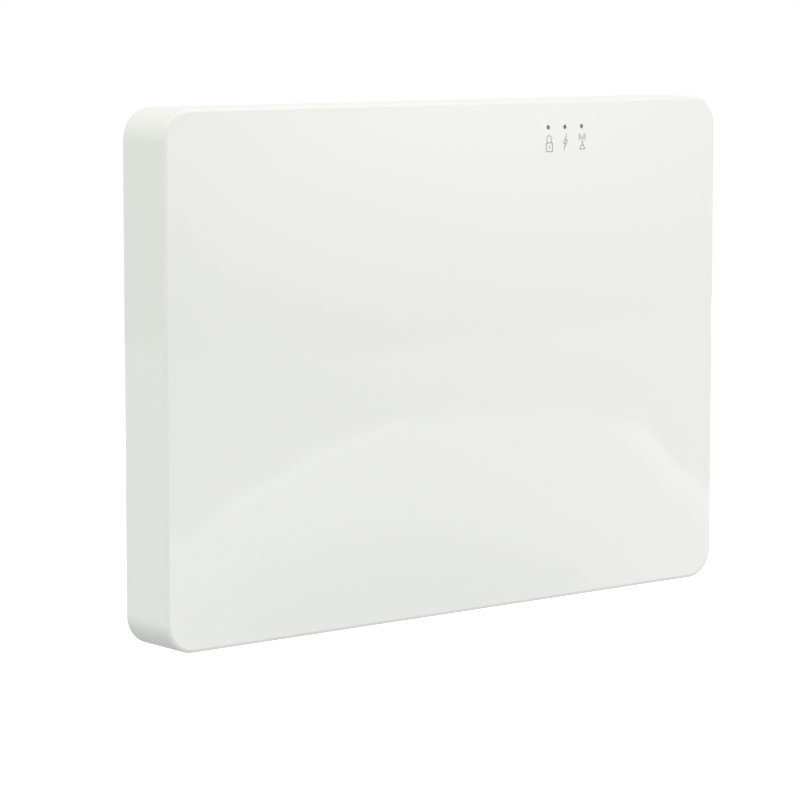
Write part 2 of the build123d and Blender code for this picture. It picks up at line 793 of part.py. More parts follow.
# Cable clamp below the mains terminal
with BuildPart() as cable_clamp:
    with BuildSketch(Plane.XY.offset(clamp_z - clamp_height / 2)):
        with Locations((entry_x, -board_depth - clamp_thickness / 2)):
            Rectangle(clamp_screw_spacing + 8.0, clamp_thickness)
        with Locations((entry_x, -board_depth)):
            Circle(clamp_arch + 2.5)
            Circle(clamp_arch, mode=Mode.SUBTRACT)
        with Locations((entry_x, -board_depth + 5.0)):
            Rectangle(20.0, 10.0, mode=Mode.SUBTRACT)
    extrude(amount=clamp_height)
    with BuildSketch(at_depth(board_depth - 1.0)):
        with Locations(*clamp_screw_spots):
            Circle(screw_hole_radius)
    extrude(amount=clamp_thickness + 2.0, mode=Mode.SUBTRACT)
finish(cable_clamp.part, "cable_clamp")

with BuildPart() as clamp_screws:
    for x, z in clamp_screw_spots:
        add(board_screw(x, z, board_depth + clamp_thickness, 6.4))
finish(clamp_screws.part, "clamp_screws")

# Sounder: a black can with its sound port in the middle
with BuildPart() as sounder:
    add(drum(sounder_x, sounder_z, sounder_radius, plate_thickness + battery_seat_gap, sounder_height, 1.0))
    sounder_front = plate_thickness + battery_seat_gap + sounder_height
    with BuildSketch(at_depth(sounder_front)):
        with Locations((sounder_x, sounder_z)):
            Circle(5.0)
            with PolarLocations(13.0, 8):
                SlotOverall(6.0, 1.6)
    extrude(amount=-2.0, mode=Mode.SUBTRACT)
finish(sounder.part, "sounder")

# Moving switches on the main board
with BuildPart() as tamper_switch:
    add(boxed(tamper_x, tamper_z, 12.0, 8.0, board_front, tamper_body_height))
    with BuildSketch(at_depth(board_front + 1.0)):
        with Locations((tamper_x, tamper_z)):
            Circle(tamper_radius + running_gap)
    extrude(amount=tamper_body_height, mode=Mode.SUBTRACT)
finish(tamper_switch.part, "tamper_switch")

with BuildPart() as tamper_plunger:
    foot = board_front + 1.0 + tamper_travel + plunger_hole_gap
    add(drum(tamper_x, tamper_z, tamper_radius, foot, tamper_tip_depth - foot, 0.8))
finish(tamper_plunger.part, "tamper_plunger")

wall_switch_height = board_depth - wall_switch_depth
with BuildPart() as wall_tamper_switch:
    add(boxed(wall_tamper_x, wall_tamper_z, 10.0, 10.0, wall_switch_depth, wall_switch_height, 0))
    with BuildSketch(at_depth(wall_switch_depth)):
        with Locations((wall_tamper_x, wall_tamper_z)):
            Circle(tamper_radius + running_gap)
    extrude(amount=wall_bore_end - wall_switch_depth, mode=Mode.SUBTRACT)
finish(wall_tamper_switch.part, "wall_tamper_switch")

with BuildPart() as wall_tamper_plunger:
    wall_tamper_length = wall_bore_end - wall_tamper_end_gap
    add(drum(wall_tamper_x, wall_tamper_z, tamper_radius, 0, wall_tamper_length, 0.4))
finish(wall_tamper_plunger.part, "wall_tamper_plunger")

with BuildPart() as reset_switch:
    add(boxed(reset_x, reset_z, 6.2, 6.2, board_front, reset_body_height, 0.3))
    with BuildSketch(at_depth(board_front + 1.2)):
        with Locations((reset_x, reset_z)):
            Circle(reset_radius + running_gap)
    extrude(amount=reset_body_height, mode=Mode.SUBTRACT)
finish(reset_switch.part, "reset_switch")

with BuildPart() as reset_button:
    foot = board_front + 1.2 + reset_travel + 0.2
    tip = board_front + reset_body_height + reset_standout
    add(drum(reset_x, reset_z, reset_radius, foot, tip - foot, 0.3))
finish(reset_button.part, "reset_button")

with BuildPart() as battery_switch:
    add(boxed(slider_x, slider_z, 9.4, 4.4, board_front, switch_body_height))
    with BuildSketch(at_depth(board_front + switch_body_height - slider_slot_depth)):
        with Locations((slider_x, slider_z)):
            Rectangle(
                slider_size + slider_travel + 2 * running_gap,
                slider_size + 2 * running_gap,
            )
    extrude(amount=slider_slot_depth + 1.0, mode=Mode.SUBTRACT)
finish(battery_switch.part, "battery_switch")

with BuildPart() as battery_slider:
    foot = board_front + switch_body_height - slider_slot_depth + running_gap
    off_x = slider_x - slider_travel / 2
    add(boxed(off_x, slider_z, slider_size, slider_size, foot, slider_height, 0.3))
finish(battery_slider.part, "battery_slider")

# Card holder: base with hinge posts, the card and the metal lid over it
sim_seat = board_front + sim_floor_thickness
sim_lid_depth = board_front + sim_base_thickness + sim_lid_gap
sim_pin_depth = sim_lid_depth + sim_ear_radius
sim_lid_top = sim_z + sim_lid_length / 2
sim_pin_z = sim_lid_top + 1.2
sim_post_x = sim_lid_width / 2 - 2.45
sim_ear_x = sim_lid_width / 2 - sim_ear_thickness / 2
with BuildPart() as sim_holder:
    with BuildSketch(at_depth(board_front)):
        with Locations((sim_x, sim_z + 0.6)):
            Rectangle(sim_lid_width + 0.7, sim_lid_length + 3.6)
    extrude(amount=sim_base_thickness)
    with BuildSketch(at_depth(sim_seat)):
        with Locations((sim_x, sim_z)):
            Rectangle(sim_card_width + 2 * sim_card_gap, sim_card_length + 2 * sim_card_gap)
    extrude(amount=sim_base_thickness, mode=Mode.SUBTRACT)
    # posts and hinge pins
    for side in (-1, 1):
        with BuildSketch(side_plane(sim_x + side * sim_post_x)):
            with Locations((sim_pin_depth - 0.6, sim_pin_z)):
                Rectangle(2.6, 1.6)
        extrude(amount=0.7, both=True)
        with BuildSketch(side_plane(sim_x + side * (sim_ear_x - 0.9))):
            with Locations((sim_pin_depth, sim_pin_z)):
                Circle(sim_pin_radius)
        extrude(amount=1.0, both=True)
finish(sim_holder.part, "sim_holder")

with BuildPart() as sim_card:
    with BuildSketch(at_depth(sim_seat)):
        with Locations((sim_x, sim_z)):
            Polygon(
                (-sim_card_width / 2, -sim_card_length / 2),
                (sim_card_width / 2 - 2.5, -sim_card_length / 2),
                (sim_card_width / 2, -sim_card_length / 2 + 2.5),
                (sim_card_width / 2, sim_card_length / 2),
                (-sim_card_width / 2, sim_card_length / 2),
                align=None,
            )
    extrude(amount=sim_card_thickness)
finish(sim_card.part, "sim_card")

with BuildPart() as sim_lid:
    with BuildSketch(at_depth(sim_lid_depth)):
        with Locations((sim_x, sim_z)):
            Rectangle(sim_lid_width, sim_lid_length)
            Rectangle(5.0, 7.0, mode=Mode.SUBTRACT)
    extrude(amount=sim_lid_thickness)
    for side in (-1, 1):
        with BuildSketch(side_plane(sim_x + side * sim_ear_x)):
            with Locations((sim_pin_depth, sim_pin_z)):
                Circle(sim_ear_radius)
            with Locations((sim_pin_depth - sim_ear_radius / 2, (sim_pin_z + sim_lid_top - 0.8) / 2)):
                Rectangle(sim_ear_radius, sim_pin_z - sim_lid_top + 0.8)
            with Locations((sim_pin_depth, sim_pin_z)):
                Circle(sim_pin_radius + running_gap, mode=Mode.SUBTRACT)
        extrude(amount=sim_ear_thickness / 2, both=True)
finish(sim_lid.part, "sim_lid")

# Network socket at the board's left edge, its mouth towards the cable entry
jack_x = main_board_left + jack_length / 2
jack_mouth_depth = board_front + jack_height / 2 + jack_mouth_rise
jack_mouth_back = jack_mouth_depth - jack_mouth_height / 2
jack_mouth_front = jack_mouth_depth + jack_mouth_height / 2
with BuildPart() as ethernet_jack:
    with BuildSketch(at_depth(board_front)):
        with Locations((jack_x, jack_z)):
            Rectangle(jack_length, jack_width)
    extrude(amount=jack_height)
    with BuildSketch(side_plane(main_board_left)):
        with Locations((jack_mouth_depth, jack_z)):
            Rectangle(jack_mouth_height, jack_mouth_width)
        with Locations((jack_mouth_back, jack_z)):
            Rectangle(2 * latch_height, latch_width)
    extrude(amount=-jack_mouth_length, mode=Mode.SUBTRACT)
finish(ethernet_jack.part, "ethernet_jack")

with BuildPart() as jack_contacts:
    with BuildSketch(at_depth(jack_mouth_front - 1.0)):
        with Locations((main_board_left + 9.0, jack_z)):
            with GridLocations(1, 1.02, 1, 8):
                Rectangle(9.0, 0.4)
    extrude(amount=1.0)
finish(jack_contacts.part, "jack_contacts")

# Terminals: three for the mains, eight for wired loops
def terminal_block(x, z, poles, pitch, width, height, mouth, recess=2.2):
    """Screw clamps in a row along X, with their wire mouths on the lower side."""
    with BuildPart() as block:
        add(boxed(x, z, poles * pitch, width, board_front, height, 0.6))
        with BuildSketch(at_depth(board_front + height)):
            with Locations((x, z + width * 0.08)):
                with GridLocations(pitch, 1, poles, 1):
                    Circle(pitch * 0.36)
        extrude(amount=-recess, mode=Mode.SUBTRACT)
        with BuildSketch(Plane.XY.offset(z - width / 2)):
            with Locations((x, -board_front - height * 0.36)):
                with GridLocations(pitch, 1, poles, 1):
                    Rectangle(mouth, mouth)
        extrude(amount=width * 0.4, mode=Mode.SUBTRACT)
    return block.part


def terminal_screws(x, z, poles, pitch, width, height, recess=2.2):
    """The slotted screws that stand in the recesses of such a block."""
    head = recess - 0.8
    with BuildPart() as screws:
        with BuildSketch(at_depth(board_front + height - recess)):
            with Locations((x, z + width * 0.08)):
                with GridLocations(pitch, 1, poles, 1):
                    Circle(pitch * 0.3)
        extrude(amount=head)
        with BuildSketch(at_depth(board_front + height - recess + head)):
            with Locations((x, z + width * 0.08)):
                with GridLocations(pitch, 1, poles, 1):
                    Rectangle(pitch * 0.5, 0.6)
        extrude(amount=-head / 2, mode=Mode.SUBTRACT)
    return screws.part


mains_row = (entry_x, power_board_z - power_board_height / 2 + 8.5, 3, 7.6, 11.5, 13.0)
zone_row = (0.0, main_board_bottom + 5.5, 8, 5.0, 8.6, 10.0)
finish(terminal_block(*mains_row, mouth=3.8), "mains_terminal")
finish(terminal_screws(*mains_row), "mains_terminal_screws")
finish(terminal_block(*zone_row, mouth=3.0), "zone_terminals")
finish(terminal_screws(*zone_row), "zone_terminal_screws")

# Power board parts
fuse_x = power_board_x + 25.0
fuse_z = power_board_z - 12.0
fuse_depth = board_front + fuse_height
with BuildPart() as fuse_holder:
    with BuildSketch(at_depth(board_front)):
        with Locations((fuse_x, fuse_z)):
            Rectangle(9.0, fuse_length + 5.0)
    extrude(amount=fuse_foot_thickness)
    for side in (-1, 1):
        with BuildSketch(at_depth(board_front + fuse_foot_thickness)):
            with Locations((fuse_x, fuse_z + side * (fuse_length / 2 - 1.8))):
                Rectangle(2 * fuse_radius + 2.2, 3.6)
        extrude(amount=fuse_clip_height)
    with BuildSketch(Plane.XY.offset(fuse_z - fuse_length / 2 - 3.0)):
        with Locations((fuse_x, -fuse_depth)):
            Circle(fuse_radius + running_gap)
        with Locations((fuse_x, -fuse_depth - 2.0)):
            Rectangle(2 * fuse_radius - 0.4, 4.0)
    extrude(amount=fuse_length + 6.0, mode=Mode.SUBTRACT)
finish(fuse_holder.part, "fuse_holder")

with BuildPart() as fuse:
    with Locations(point(fuse_x, fuse_depth, fuse_z)):
        Cylinder(fuse_radius - 0.3, fuse_length)
        for side in (-1, 1):
            with Locations((0, 0, side * (fuse_length / 2 - 2.4))):
                Cylinder(fuse_radius, 4.8)
finish(fuse.part, "fuse")

transformer_x = power_board_x - 8.0
transformer_z = power_board_z + 12.0
core_back = board_front + transformer_foot + transformer_slip
window_width = (transformer_width - 3 * transformer_leg) / 2
window_length = transformer_length - 2 * transformer_leg
with BuildPart() as transformer_core:
    add(
        boxed(
            transformer_x,
            transformer_z,
            transformer_width,
            transformer_length,
            core_back,
            transformer_core_height,
            0.6,
        )
    )
    with BuildSketch(at_depth(core_back)):
        with Locations((transformer_x, transformer_z)):
            with GridLocations(transformer_leg + window_width, 1, 2, 1):
                Rectangle(window_width, window_length)
    extrude(amount=transformer_core_height, mode=Mode.SUBTRACT)
finish(transformer_core.part, "transformer_core")

# The winding goes round the middle leg; its bobbin stands on the board.
with BuildPart() as transformer_winding:
    add(
        boxed(
            transformer_x,
            transformer_z,
            transformer_leg + 2 * window_width - 2 * winding_gap,
            window_length - 2 * winding_gap,
            board_front,
            winding_rise,
            1.2,
        )
    )
    add(boxed(transformer_x, transformer_z, 20.0, 20.0, board_front, transformer_foot, 0))
    with BuildSketch(at_depth(board_front + transformer_foot)):
        with Locations((transformer_x, transformer_z)):
            Rectangle(transformer_leg + 2 * transformer_slip, transformer_length)
    extrude(amount=transformer_core_height + 2 * transformer_slip, mode=Mode.SUBTRACT)
finish(transformer_winding.part, "transformer_winding")

with BuildPart() as mains_choke:
    add(boxed(power_board_x - 20.0, power_board_z - 14.5, 16.0, 14.0, board_front, 12.0, 0.8))
finish(mains_choke.part, "mains_choke")

with BuildPart() as filter_capacitor:
    add(boxed(power_board_x + 2.5, power_board_z - 14.5, 8.0, 17.0, board_front, 13.0, 0.6))
finish(filter_capacitor.part, "filter_capacitor")

with BuildPart() as surge_disc:
    with BuildSketch(side_plane(power_board_x + 12.5)):
        with Locations((board_front + 6.2, power_board_z - 14.5)):
            Circle(5.5)
    extrude(amount=2.0, both=True)
    fillet(surge_disc.edges(), 1.2)
    with BuildSketch(at_depth(board_front)):
        with Locations((power_board_x + 12.5, power_board_z - 14.5)):
            with GridLocations(1, 5.0, 1, 2):
                Circle(0.4)
    extrude(amount=2.6)
finish(surge_disc.part, "surge_disc")

can_spots = [
    (power_board_x + 22.0, power_board_z + 14.0, 6.3, 14.0),
    (power_board_x + 14.0, power_board_z + 31.0, 5.0, 12.0),
    (power_board_x - 24.0, power_board_z + 31.0, 4.0, 11.5),
    (main_board_left + 14.0, 62.0, 4.0, 10.0),
    (main_board_left + 14.0, 50.0, 4.0, 10.0),
    (main_board_left + 14.0, 39.0, 3.15, 8.0),
    (126.0, 47.0, 3.15, 8.0),
    (40.0, -17.0, 3.15, 8.0),
]
with BuildPart() as smoothing_capacitors:
    for x, z, radius, height in can_spots:
        add(drum(x, z, radius, board_front, height, 0.6))
finish(smoothing_capacitors.part, "smoothing_capacitors")

# Main board parts
with BuildPart() as indicator_lamps:
    for x in indicator_xs:
        add(boxed(x, indicator_z, 3.2, 2.8, board_front, lamp_height, 0.3))
finish(indicator_lamps.part, "indicator_lamps")

with BuildPart() as processor:
    add(boxed(18.0, 44.0, 16.0, 16.0, board_front, 1.4, 0.2))
finish(processor.part, "processor")

chip_spots = [
    (-5.0, 22.0, 10.0, 6.0),
    (18.0, 22.0, 8.0, 5.5),
    (42.0, 50.0, 6.0, 8.0),
    (36.0, 30.0, 5.0, 4.0),
    (-8.0, 66.0, 5.0, 6.0),
    (-24.0, -12.0, 5.0, 4.0),
    (72.0, 40.0, 7.0, 7.0),
    (66.0, -20.0, 6.0, 4.0),
]
with BuildPart() as support_chips:
    for x, z, width, height in chip_spots:
        add(boxed(x, z, width, height, board_front, 1.5, 0.2))
finish(support_chips.part, "support_chips")

resistor_fields = [
    (18.0, 60.0, 5, 2),
    (0.0, 44.0, 2, 5),
    (80.0, 26.0, 2, 4),
    (-26.0, 78.0, 4, 2),
]
with BuildPart() as chip_resistors:
    with BuildSketch(at_depth(board_front)):
        for x, z, columns, rows in resistor_fields:
            with Locations((x, z)):
                with GridLocations(4.0, 3.0, columns, rows):
                    Rectangle(2.0, 1.2)
        with Locations((indicator_middle_x, indicator_z - 6.0)):
            with GridLocations(indicator_pitch, 1, 3, 1):
                Rectangle(2.0, 1.2)
    extrude(amount=0.6)
finish(chip_resistors.part, "chip_resistors")

# Radio for the wireless detectors: module, shield and bent-metal antenna
radio_x = 104.0
radio_z = 72.0
with BuildPart() as radio_module:
    add(boxed(radio_x, radio_z, 26.0, 20.0, board_front, 1.0, 0))
finish(radio_module.part, "radio_module")

with BuildPart() as radio_shield:
    add(boxed(radio_x - 2.0, radio_z, 18.0, 15.0, board_front + 1.0, 2.4, 0.5))
finish(radio_shield.part, "radio_shield")


def strip_antenna(x, z, length, rise):
    """A bent strip of spring metal: one foot, a riser and a long arm along the board's edge."""
    thickness = 0.5
    with BuildPart() as antenna:
        with BuildSketch(at_depth(board_front)):
            with Locations((x, z + length / 2 - 2.0)):
                Rectangle(5.0, 4.0)
        extrude(amount=thickness)
        with BuildSketch(at_depth(board_front)):
            with Locations((x, z + length / 2 - thickness / 2)):
                Rectangle(5.0, thickness)
        extrude(amount=rise)
        with BuildSketch(at_depth(board_front + rise - thickness)):
            with Locations((x, z)):
                Rectangle(5.0, length)
            with Locations((x + 1.2, z - 1.5)):
                with GridLocations(1, 6.0, 1, 4):
                    Rectangle(3.4, 1.2, mode=Mode.SUBTRACT)
        extrude(amount=thickness)
    return antenna.part


finish(strip_antenna(126.0, 66.0, 30.0, 8.0), "radio_antenna")

# Mobile-network module and its antenna
with BuildPart() as mobile_module:
    add(boxed(100.0, 26.0, 26.0, 30.0, board_front, 0.9, 0))
    add(boxed(100.0, 26.0, 24.0, 28.0, board_front + 0.9, 2.0, 0.5))
finish(mobile_module.part, "mobile_module")
finish(strip_antenna(126.0, 20.0, 34.0, 9.0), "mobile_antenna")

# Lead headers, then the leads between them
header_z = main_board_bottom + 12.0
header_foot_z = header_z - header_size / 2
power_header_x = power_board_x + power_board_width / 2 - header_size / 2 - 1.0
main_header_x = main_board_left + header_size / 2 + 1.0
header_spots = [
    (battery_header_x, header_z),
    (sounder_header_x, header_z),
    (power_header_x, dc_header_z),
    (main_header_x, dc_header_z),
]
with BuildPart() as lead_headers:
    for x, z in header_spots:
        add(boxed(x, z, header_size, header_size, board_front, header_height, 0.4))
finish(lead_headers.part, "lead_headers")

# The battery leads start on the end of the cell nearest their header, in front of its cap.
tab_x = min(cell_xs, key=lambda x: abs(battery_header_x - x)) - 2.0
tab_depth = battery_axis_depth + cell_cap_radius + lead_radius + 1.2
for colour, side in (("red", -1), ("black", 1)):
    shift = side * lead_spacing / 2
    x = battery_header_x + shift
    run = (header_foot_z - battery_top) / 3
    battery_lead = lead(
        [
            (tab_x + shift, tab_depth, battery_top),
            (tab_x + shift, tab_depth, battery_top + run),
            (x, lead_depth, header_foot_z - run),
            (x, lead_depth, header_foot_z),
        ],
        lead_radius,
        lead_bend,
    )
    finish(battery_lead, f"battery_lead_{colour}")
    # the sounder leads start at its rim
    x = sounder_header_x + shift
    rim_reach = sounder_x - (x + 3.0) - lead_radius
    top = sounder_z + sqrt(sounder_radius**2 - rim_reach**2) + 0.1
    run = (header_foot_z - top) / 3
    sounder_lead = lead(
        [
            (x + 3.0, lead_depth, top),
            (x + 3.0, lead_depth, top + run),
            (x, lead_depth, header_foot_z - run),
            (x, lead_depth, header_foot_z),
        ],
        lead_radius,
        lead_bend,
    )
    finish(sounder_lead, f"sounder_lead_{colour}")
    z = dc_header_z + shift
    left = power_header_x + header_size / 2
    right = main_header_x - header_size / 2
    run = (right - left) / 4
    dc_lead = lead(
        [
            (left, lead_depth, z),
            (left + run, lead_depth, z),
            ((left + right) / 2, lead_depth + 2.5, z),
            (right - run, lead_depth, z),
            (right, lead_depth, z),
        ],
        lead_radius,
        lead_bend,
    )
    finish(dc_lead, f"dc_lead_{colour}")
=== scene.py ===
import json
import math
import random

import bmesh
import bpy
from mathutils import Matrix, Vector


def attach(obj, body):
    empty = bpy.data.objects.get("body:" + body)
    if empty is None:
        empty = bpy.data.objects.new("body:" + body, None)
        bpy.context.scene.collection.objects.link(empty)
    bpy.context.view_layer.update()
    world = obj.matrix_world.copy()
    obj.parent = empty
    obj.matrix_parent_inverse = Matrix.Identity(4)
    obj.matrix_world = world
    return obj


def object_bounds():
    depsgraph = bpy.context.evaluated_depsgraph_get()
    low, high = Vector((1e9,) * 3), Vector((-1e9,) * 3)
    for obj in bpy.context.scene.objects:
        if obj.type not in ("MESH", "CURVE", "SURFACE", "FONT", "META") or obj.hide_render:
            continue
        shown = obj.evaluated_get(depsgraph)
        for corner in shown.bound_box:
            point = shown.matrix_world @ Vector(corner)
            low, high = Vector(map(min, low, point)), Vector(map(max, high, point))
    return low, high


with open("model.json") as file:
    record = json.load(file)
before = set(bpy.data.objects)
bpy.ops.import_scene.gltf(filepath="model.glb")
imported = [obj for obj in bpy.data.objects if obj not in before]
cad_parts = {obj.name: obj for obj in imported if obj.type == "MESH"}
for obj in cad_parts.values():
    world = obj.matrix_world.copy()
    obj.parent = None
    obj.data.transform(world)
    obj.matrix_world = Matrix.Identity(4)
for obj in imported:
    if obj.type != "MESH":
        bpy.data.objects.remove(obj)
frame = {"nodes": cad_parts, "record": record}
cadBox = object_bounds()
nodes = frame["nodes"]
slotOf = {part["node"]: part["material_slot"] for part in frame["record"]["subparts"]}
mm = 0.001
print("packed model loaded,", len(nodes), "nodes")


# camera at the angle of the photograph
photoView = {
    "cameraAt": (-0.8301, -1.0110, 0.1405),
    "lookAt": (-0.0029, 0.0041, 0.0133),
    "lens": 148.14,
    "sensor": 36.0,
    "shiftUp": -0.1,  # the photograph's upright edges run parallel
}


def aim(thing, target):
    towards = Vector(target) - thing.location
    thing.rotation_euler = towards.to_track_quat("-Z", "Y").to_euler()


def placeCamera(view):
    lens = bpy.data.cameras.new("photoCamera")
    lens.lens = view["lens"]
    lens.sensor_width = view["sensor"]
    lens.shift_y = view["shiftUp"]
    camera = bpy.data.objects.new("photoCamera", lens)
    camera.location = view["cameraAt"]
    aim(camera, view["lookAt"])
    bpy.context.scene.collection.objects.link(camera)
    bpy.context.scene.camera = camera


placeCamera(photoView)
print("camera placed")


# small helpers for node trees
def plug(tree, socket, value):
    if isinstance(value, bpy.types.NodeSocket):
        tree.links.new(value, socket)
    else:
        socket.default_value = value


def addNode(tree, kind, sockets=None, **settings):
    node = tree.nodes.new("ShaderNode" + kind)
    for name, value in settings.items():
        setattr(node, name, value)
    for name, value in (sockets or {}).items():
        plug(tree, node.inputs[name], value)
    return node


def calc(tree, operation, first, second=0.0, clamp=False):
    node = addNode(tree, "Math", {0: first, 1: second}, operation=operation, use_clamp=clamp)
    return node.outputs[0]


def rescale(tree, value, fromLow, fromHigh, toLow=0.0, toHigh=1.0):
    sockets = {"Value": value, "From Min": fromLow, "From Max": fromHigh, "To Min": toLow, "To Max": toHigh}
    return addNode(tree, "MapRange", sockets).outputs[0]


def mixColours(tree, factor, first, second):
    node = addNode(tree, "Mix", {0: factor, 6: first, 7: second}, data_type="RGBA")
    return node.outputs[2]


def noise(tree, place, scale, detail=2.0):
    node = addNode(tree, "TexNoise", {"Vector": place, "Scale": scale, "Detail": detail})
    return node.outputs[0]


def scaled(tree, vector, amount):
    node = addNode(tree, "VectorMath", {0: vector, "Scale": amount}, operation="SCALE")
    return node.outputs[0]


def objectPlace(tree):
    return addNode(tree, "TexCoord").outputs["Object"]


def newGroup(name, inputs, outputs):
    tree = bpy.data.node_groups.new(name, "ShaderNodeTree")
    for title, kind, value in inputs:
        socket = tree.interface.new_socket(title, in_out="INPUT", socket_type="NodeSocket" + kind)
        socket.default_value = value
    for title, kind in outputs:
        tree.interface.new_socket(title, in_out="OUTPUT", socket_type="NodeSocket" + kind)
    given = tree.nodes.new("NodeGroupInput").outputs
    made = tree.nodes.new("NodeGroupOutput").inputs
    return tree, given, made


def useGroup(tree, group, sockets):
    node = addNode(tree, "Group", node_tree=group)
    for name, value in sockets.items():
        plug(tree, node.inputs[name], value)
    return node.outputs


# node groups shared by the finishes
def makeMouldedSkin():
    # faint cloudy tone, fine grain and uneven gloss of moulded or printed surfaces
    tree, given, made = newGroup(
        "mouldedSkin",
        [
            ("Colour", "Color", (0.8, 0.8, 0.8, 1.0)),
            ("Mottle", "Float", 0.02),
            ("Patches", "Float", 12.0),
            ("Grain", "Float", 1200.0),
            ("Roughness", "Float", 0.4),
            ("Gloss Spread", "Float", 0.05),
        ],
        [("Colour", "Color"), ("Roughness", "Float"), ("Height", "Float")],
    )
    place = objectPlace(tree)
    patch = calc(tree, "SUBTRACT", noise(tree, place, given["Patches"], 3.0), 0.5)
    grain = noise(tree, place, given["Grain"], 1.0)
    swing = calc(tree, "MULTIPLY", given["Mottle"], 2.0)
    tone = calc(tree, "ADD", calc(tree, "MULTIPLY", patch, swing), 1.0)
    plug(tree, made["Colour"], scaled(tree, given["Colour"], tone))
    uneven = calc(tree, "ADD", patch, calc(tree, "SUBTRACT", grain, 0.5))
    spread = calc(tree, "MULTIPLY", uneven, given["Gloss Spread"])
    plug(tree, made["Roughness"], calc(tree, "ADD", given["Roughness"], spread, clamp=True))
    plug(tree, made["Height"], grain)
    return tree


# how far streaks and dull patches change the tone and the gloss of metal
metalTone = {
    "level": 0.92, "streak": 0.22, "dull": -0.12, "dullRange": (0.4, 0.7), "streakRoughness": 0.08,
}


def makeMetalSkin():
    # rolled streaks and dull patches of plated metal
    tree, given, made = newGroup(
        "metalSkin",
        [
            ("Colour", "Color", (0.6, 0.6, 0.6, 1.0)),
            ("Stretch", "Vector", (1.0, 1.0, 1.0)),
            ("Streaks", "Float", 1500.0),
            ("Patches", "Float", 300.0),
            ("Roughness", "Float", 0.3),
            ("Dulling", "Float", 0.2),
        ],
        [("Colour", "Color"), ("Roughness", "Float"), ("Height", "Float")],
    )
    place = objectPlace(tree)
    drawn = addNode(tree, "VectorMath", {0: place, 1: given["Stretch"]}, operation="MULTIPLY").outputs[0]
    streak = noise(tree, drawn, given["Streaks"], 2.0)
    patch = noise(tree, place, given["Patches"], 3.0)
    dull = rescale(tree, patch, *metalTone["dullRange"])
    tone = calc(tree, "ADD", calc(tree, "MULTIPLY", streak, metalTone["streak"]),
                calc(tree, "MULTIPLY", dull, metalTone["dull"]))
    tone = calc(tree, "ADD", tone, metalTone["level"])
    plug(tree, made["Colour"], scaled(tree, given["Colour"], tone))
    rough = calc(tree, "ADD", given["Roughness"], calc(tree, "MULTIPLY", dull, given["Dulling"]))
    streaky = calc(tree, "MULTIPLY", streak, metalTone["streakRoughness"])
    plug(tree, made["Roughness"], calc(tree, "ADD", rough, streaky, clamp=True))
    plug(tree, made["Height"], streak)
    return tree


sharpEdge = (0.995, 0.9)  # agreement of rounded and flat normal where the mask starts and is full


def makeEdgeMask():
    # 1 along sharp edges, 0 on open faces, where the painted edge highlight goes
    tree, given, made = newGroup("edgeMask", [("Width", "Float", 0.0002)], [("Mask", "Float")])
    rounded = addNode(tree, "Bevel", {"Radius": given["Width"]}, samples=4).outputs[0]
    flat = addNode(tree, "NewGeometry").outputs["Normal"]
    along = addNode(tree, "VectorMath", {0: rounded, 1: flat}, operation="DOT_PRODUCT").outputs["Value"]
    plug(tree, made["Mask"], rescale(tree, along, *sharpEdge))
    return tree


def makeSoftEdge():
    # normals that round every edge a little, as moulded edges are
    tree, given, made = newGroup("softEdge", [("Radius", "Float", 0.0002)], [("Normal", "Vector")])
    plug(tree, made["Normal"], addNode(tree, "Bevel", {"Radius": given["Radius"]}, samples=6).outputs[0])
    return tree


# the boards' pattern: distances in mm, scales per mm; a mask's pair is where it is 0 and where it is 1
boardPattern = {
    "jitter": 0.85, "slantedShift": (31.0, 17.0, 0.0), "line": (0.2, 0.16),
    "fieldScale": 0.07, "straightField": (0.5, 0.505), "pourScale": 0.045, "pourField": (0.56, 0.565),
    "via": (0.42, 0.36), "viaHole": (0.16, 0.12), "holeShadeColour": (0.004, 0.02, 0.01, 1.0),
    "cut": (0.6, 0.4), "cutRoughness": 0.5, "fibreScale": 6.0,
    "smearScale": 0.3, "smear": (0.3, 0.7), "smearRoughness": (0.2, 0.36),
}


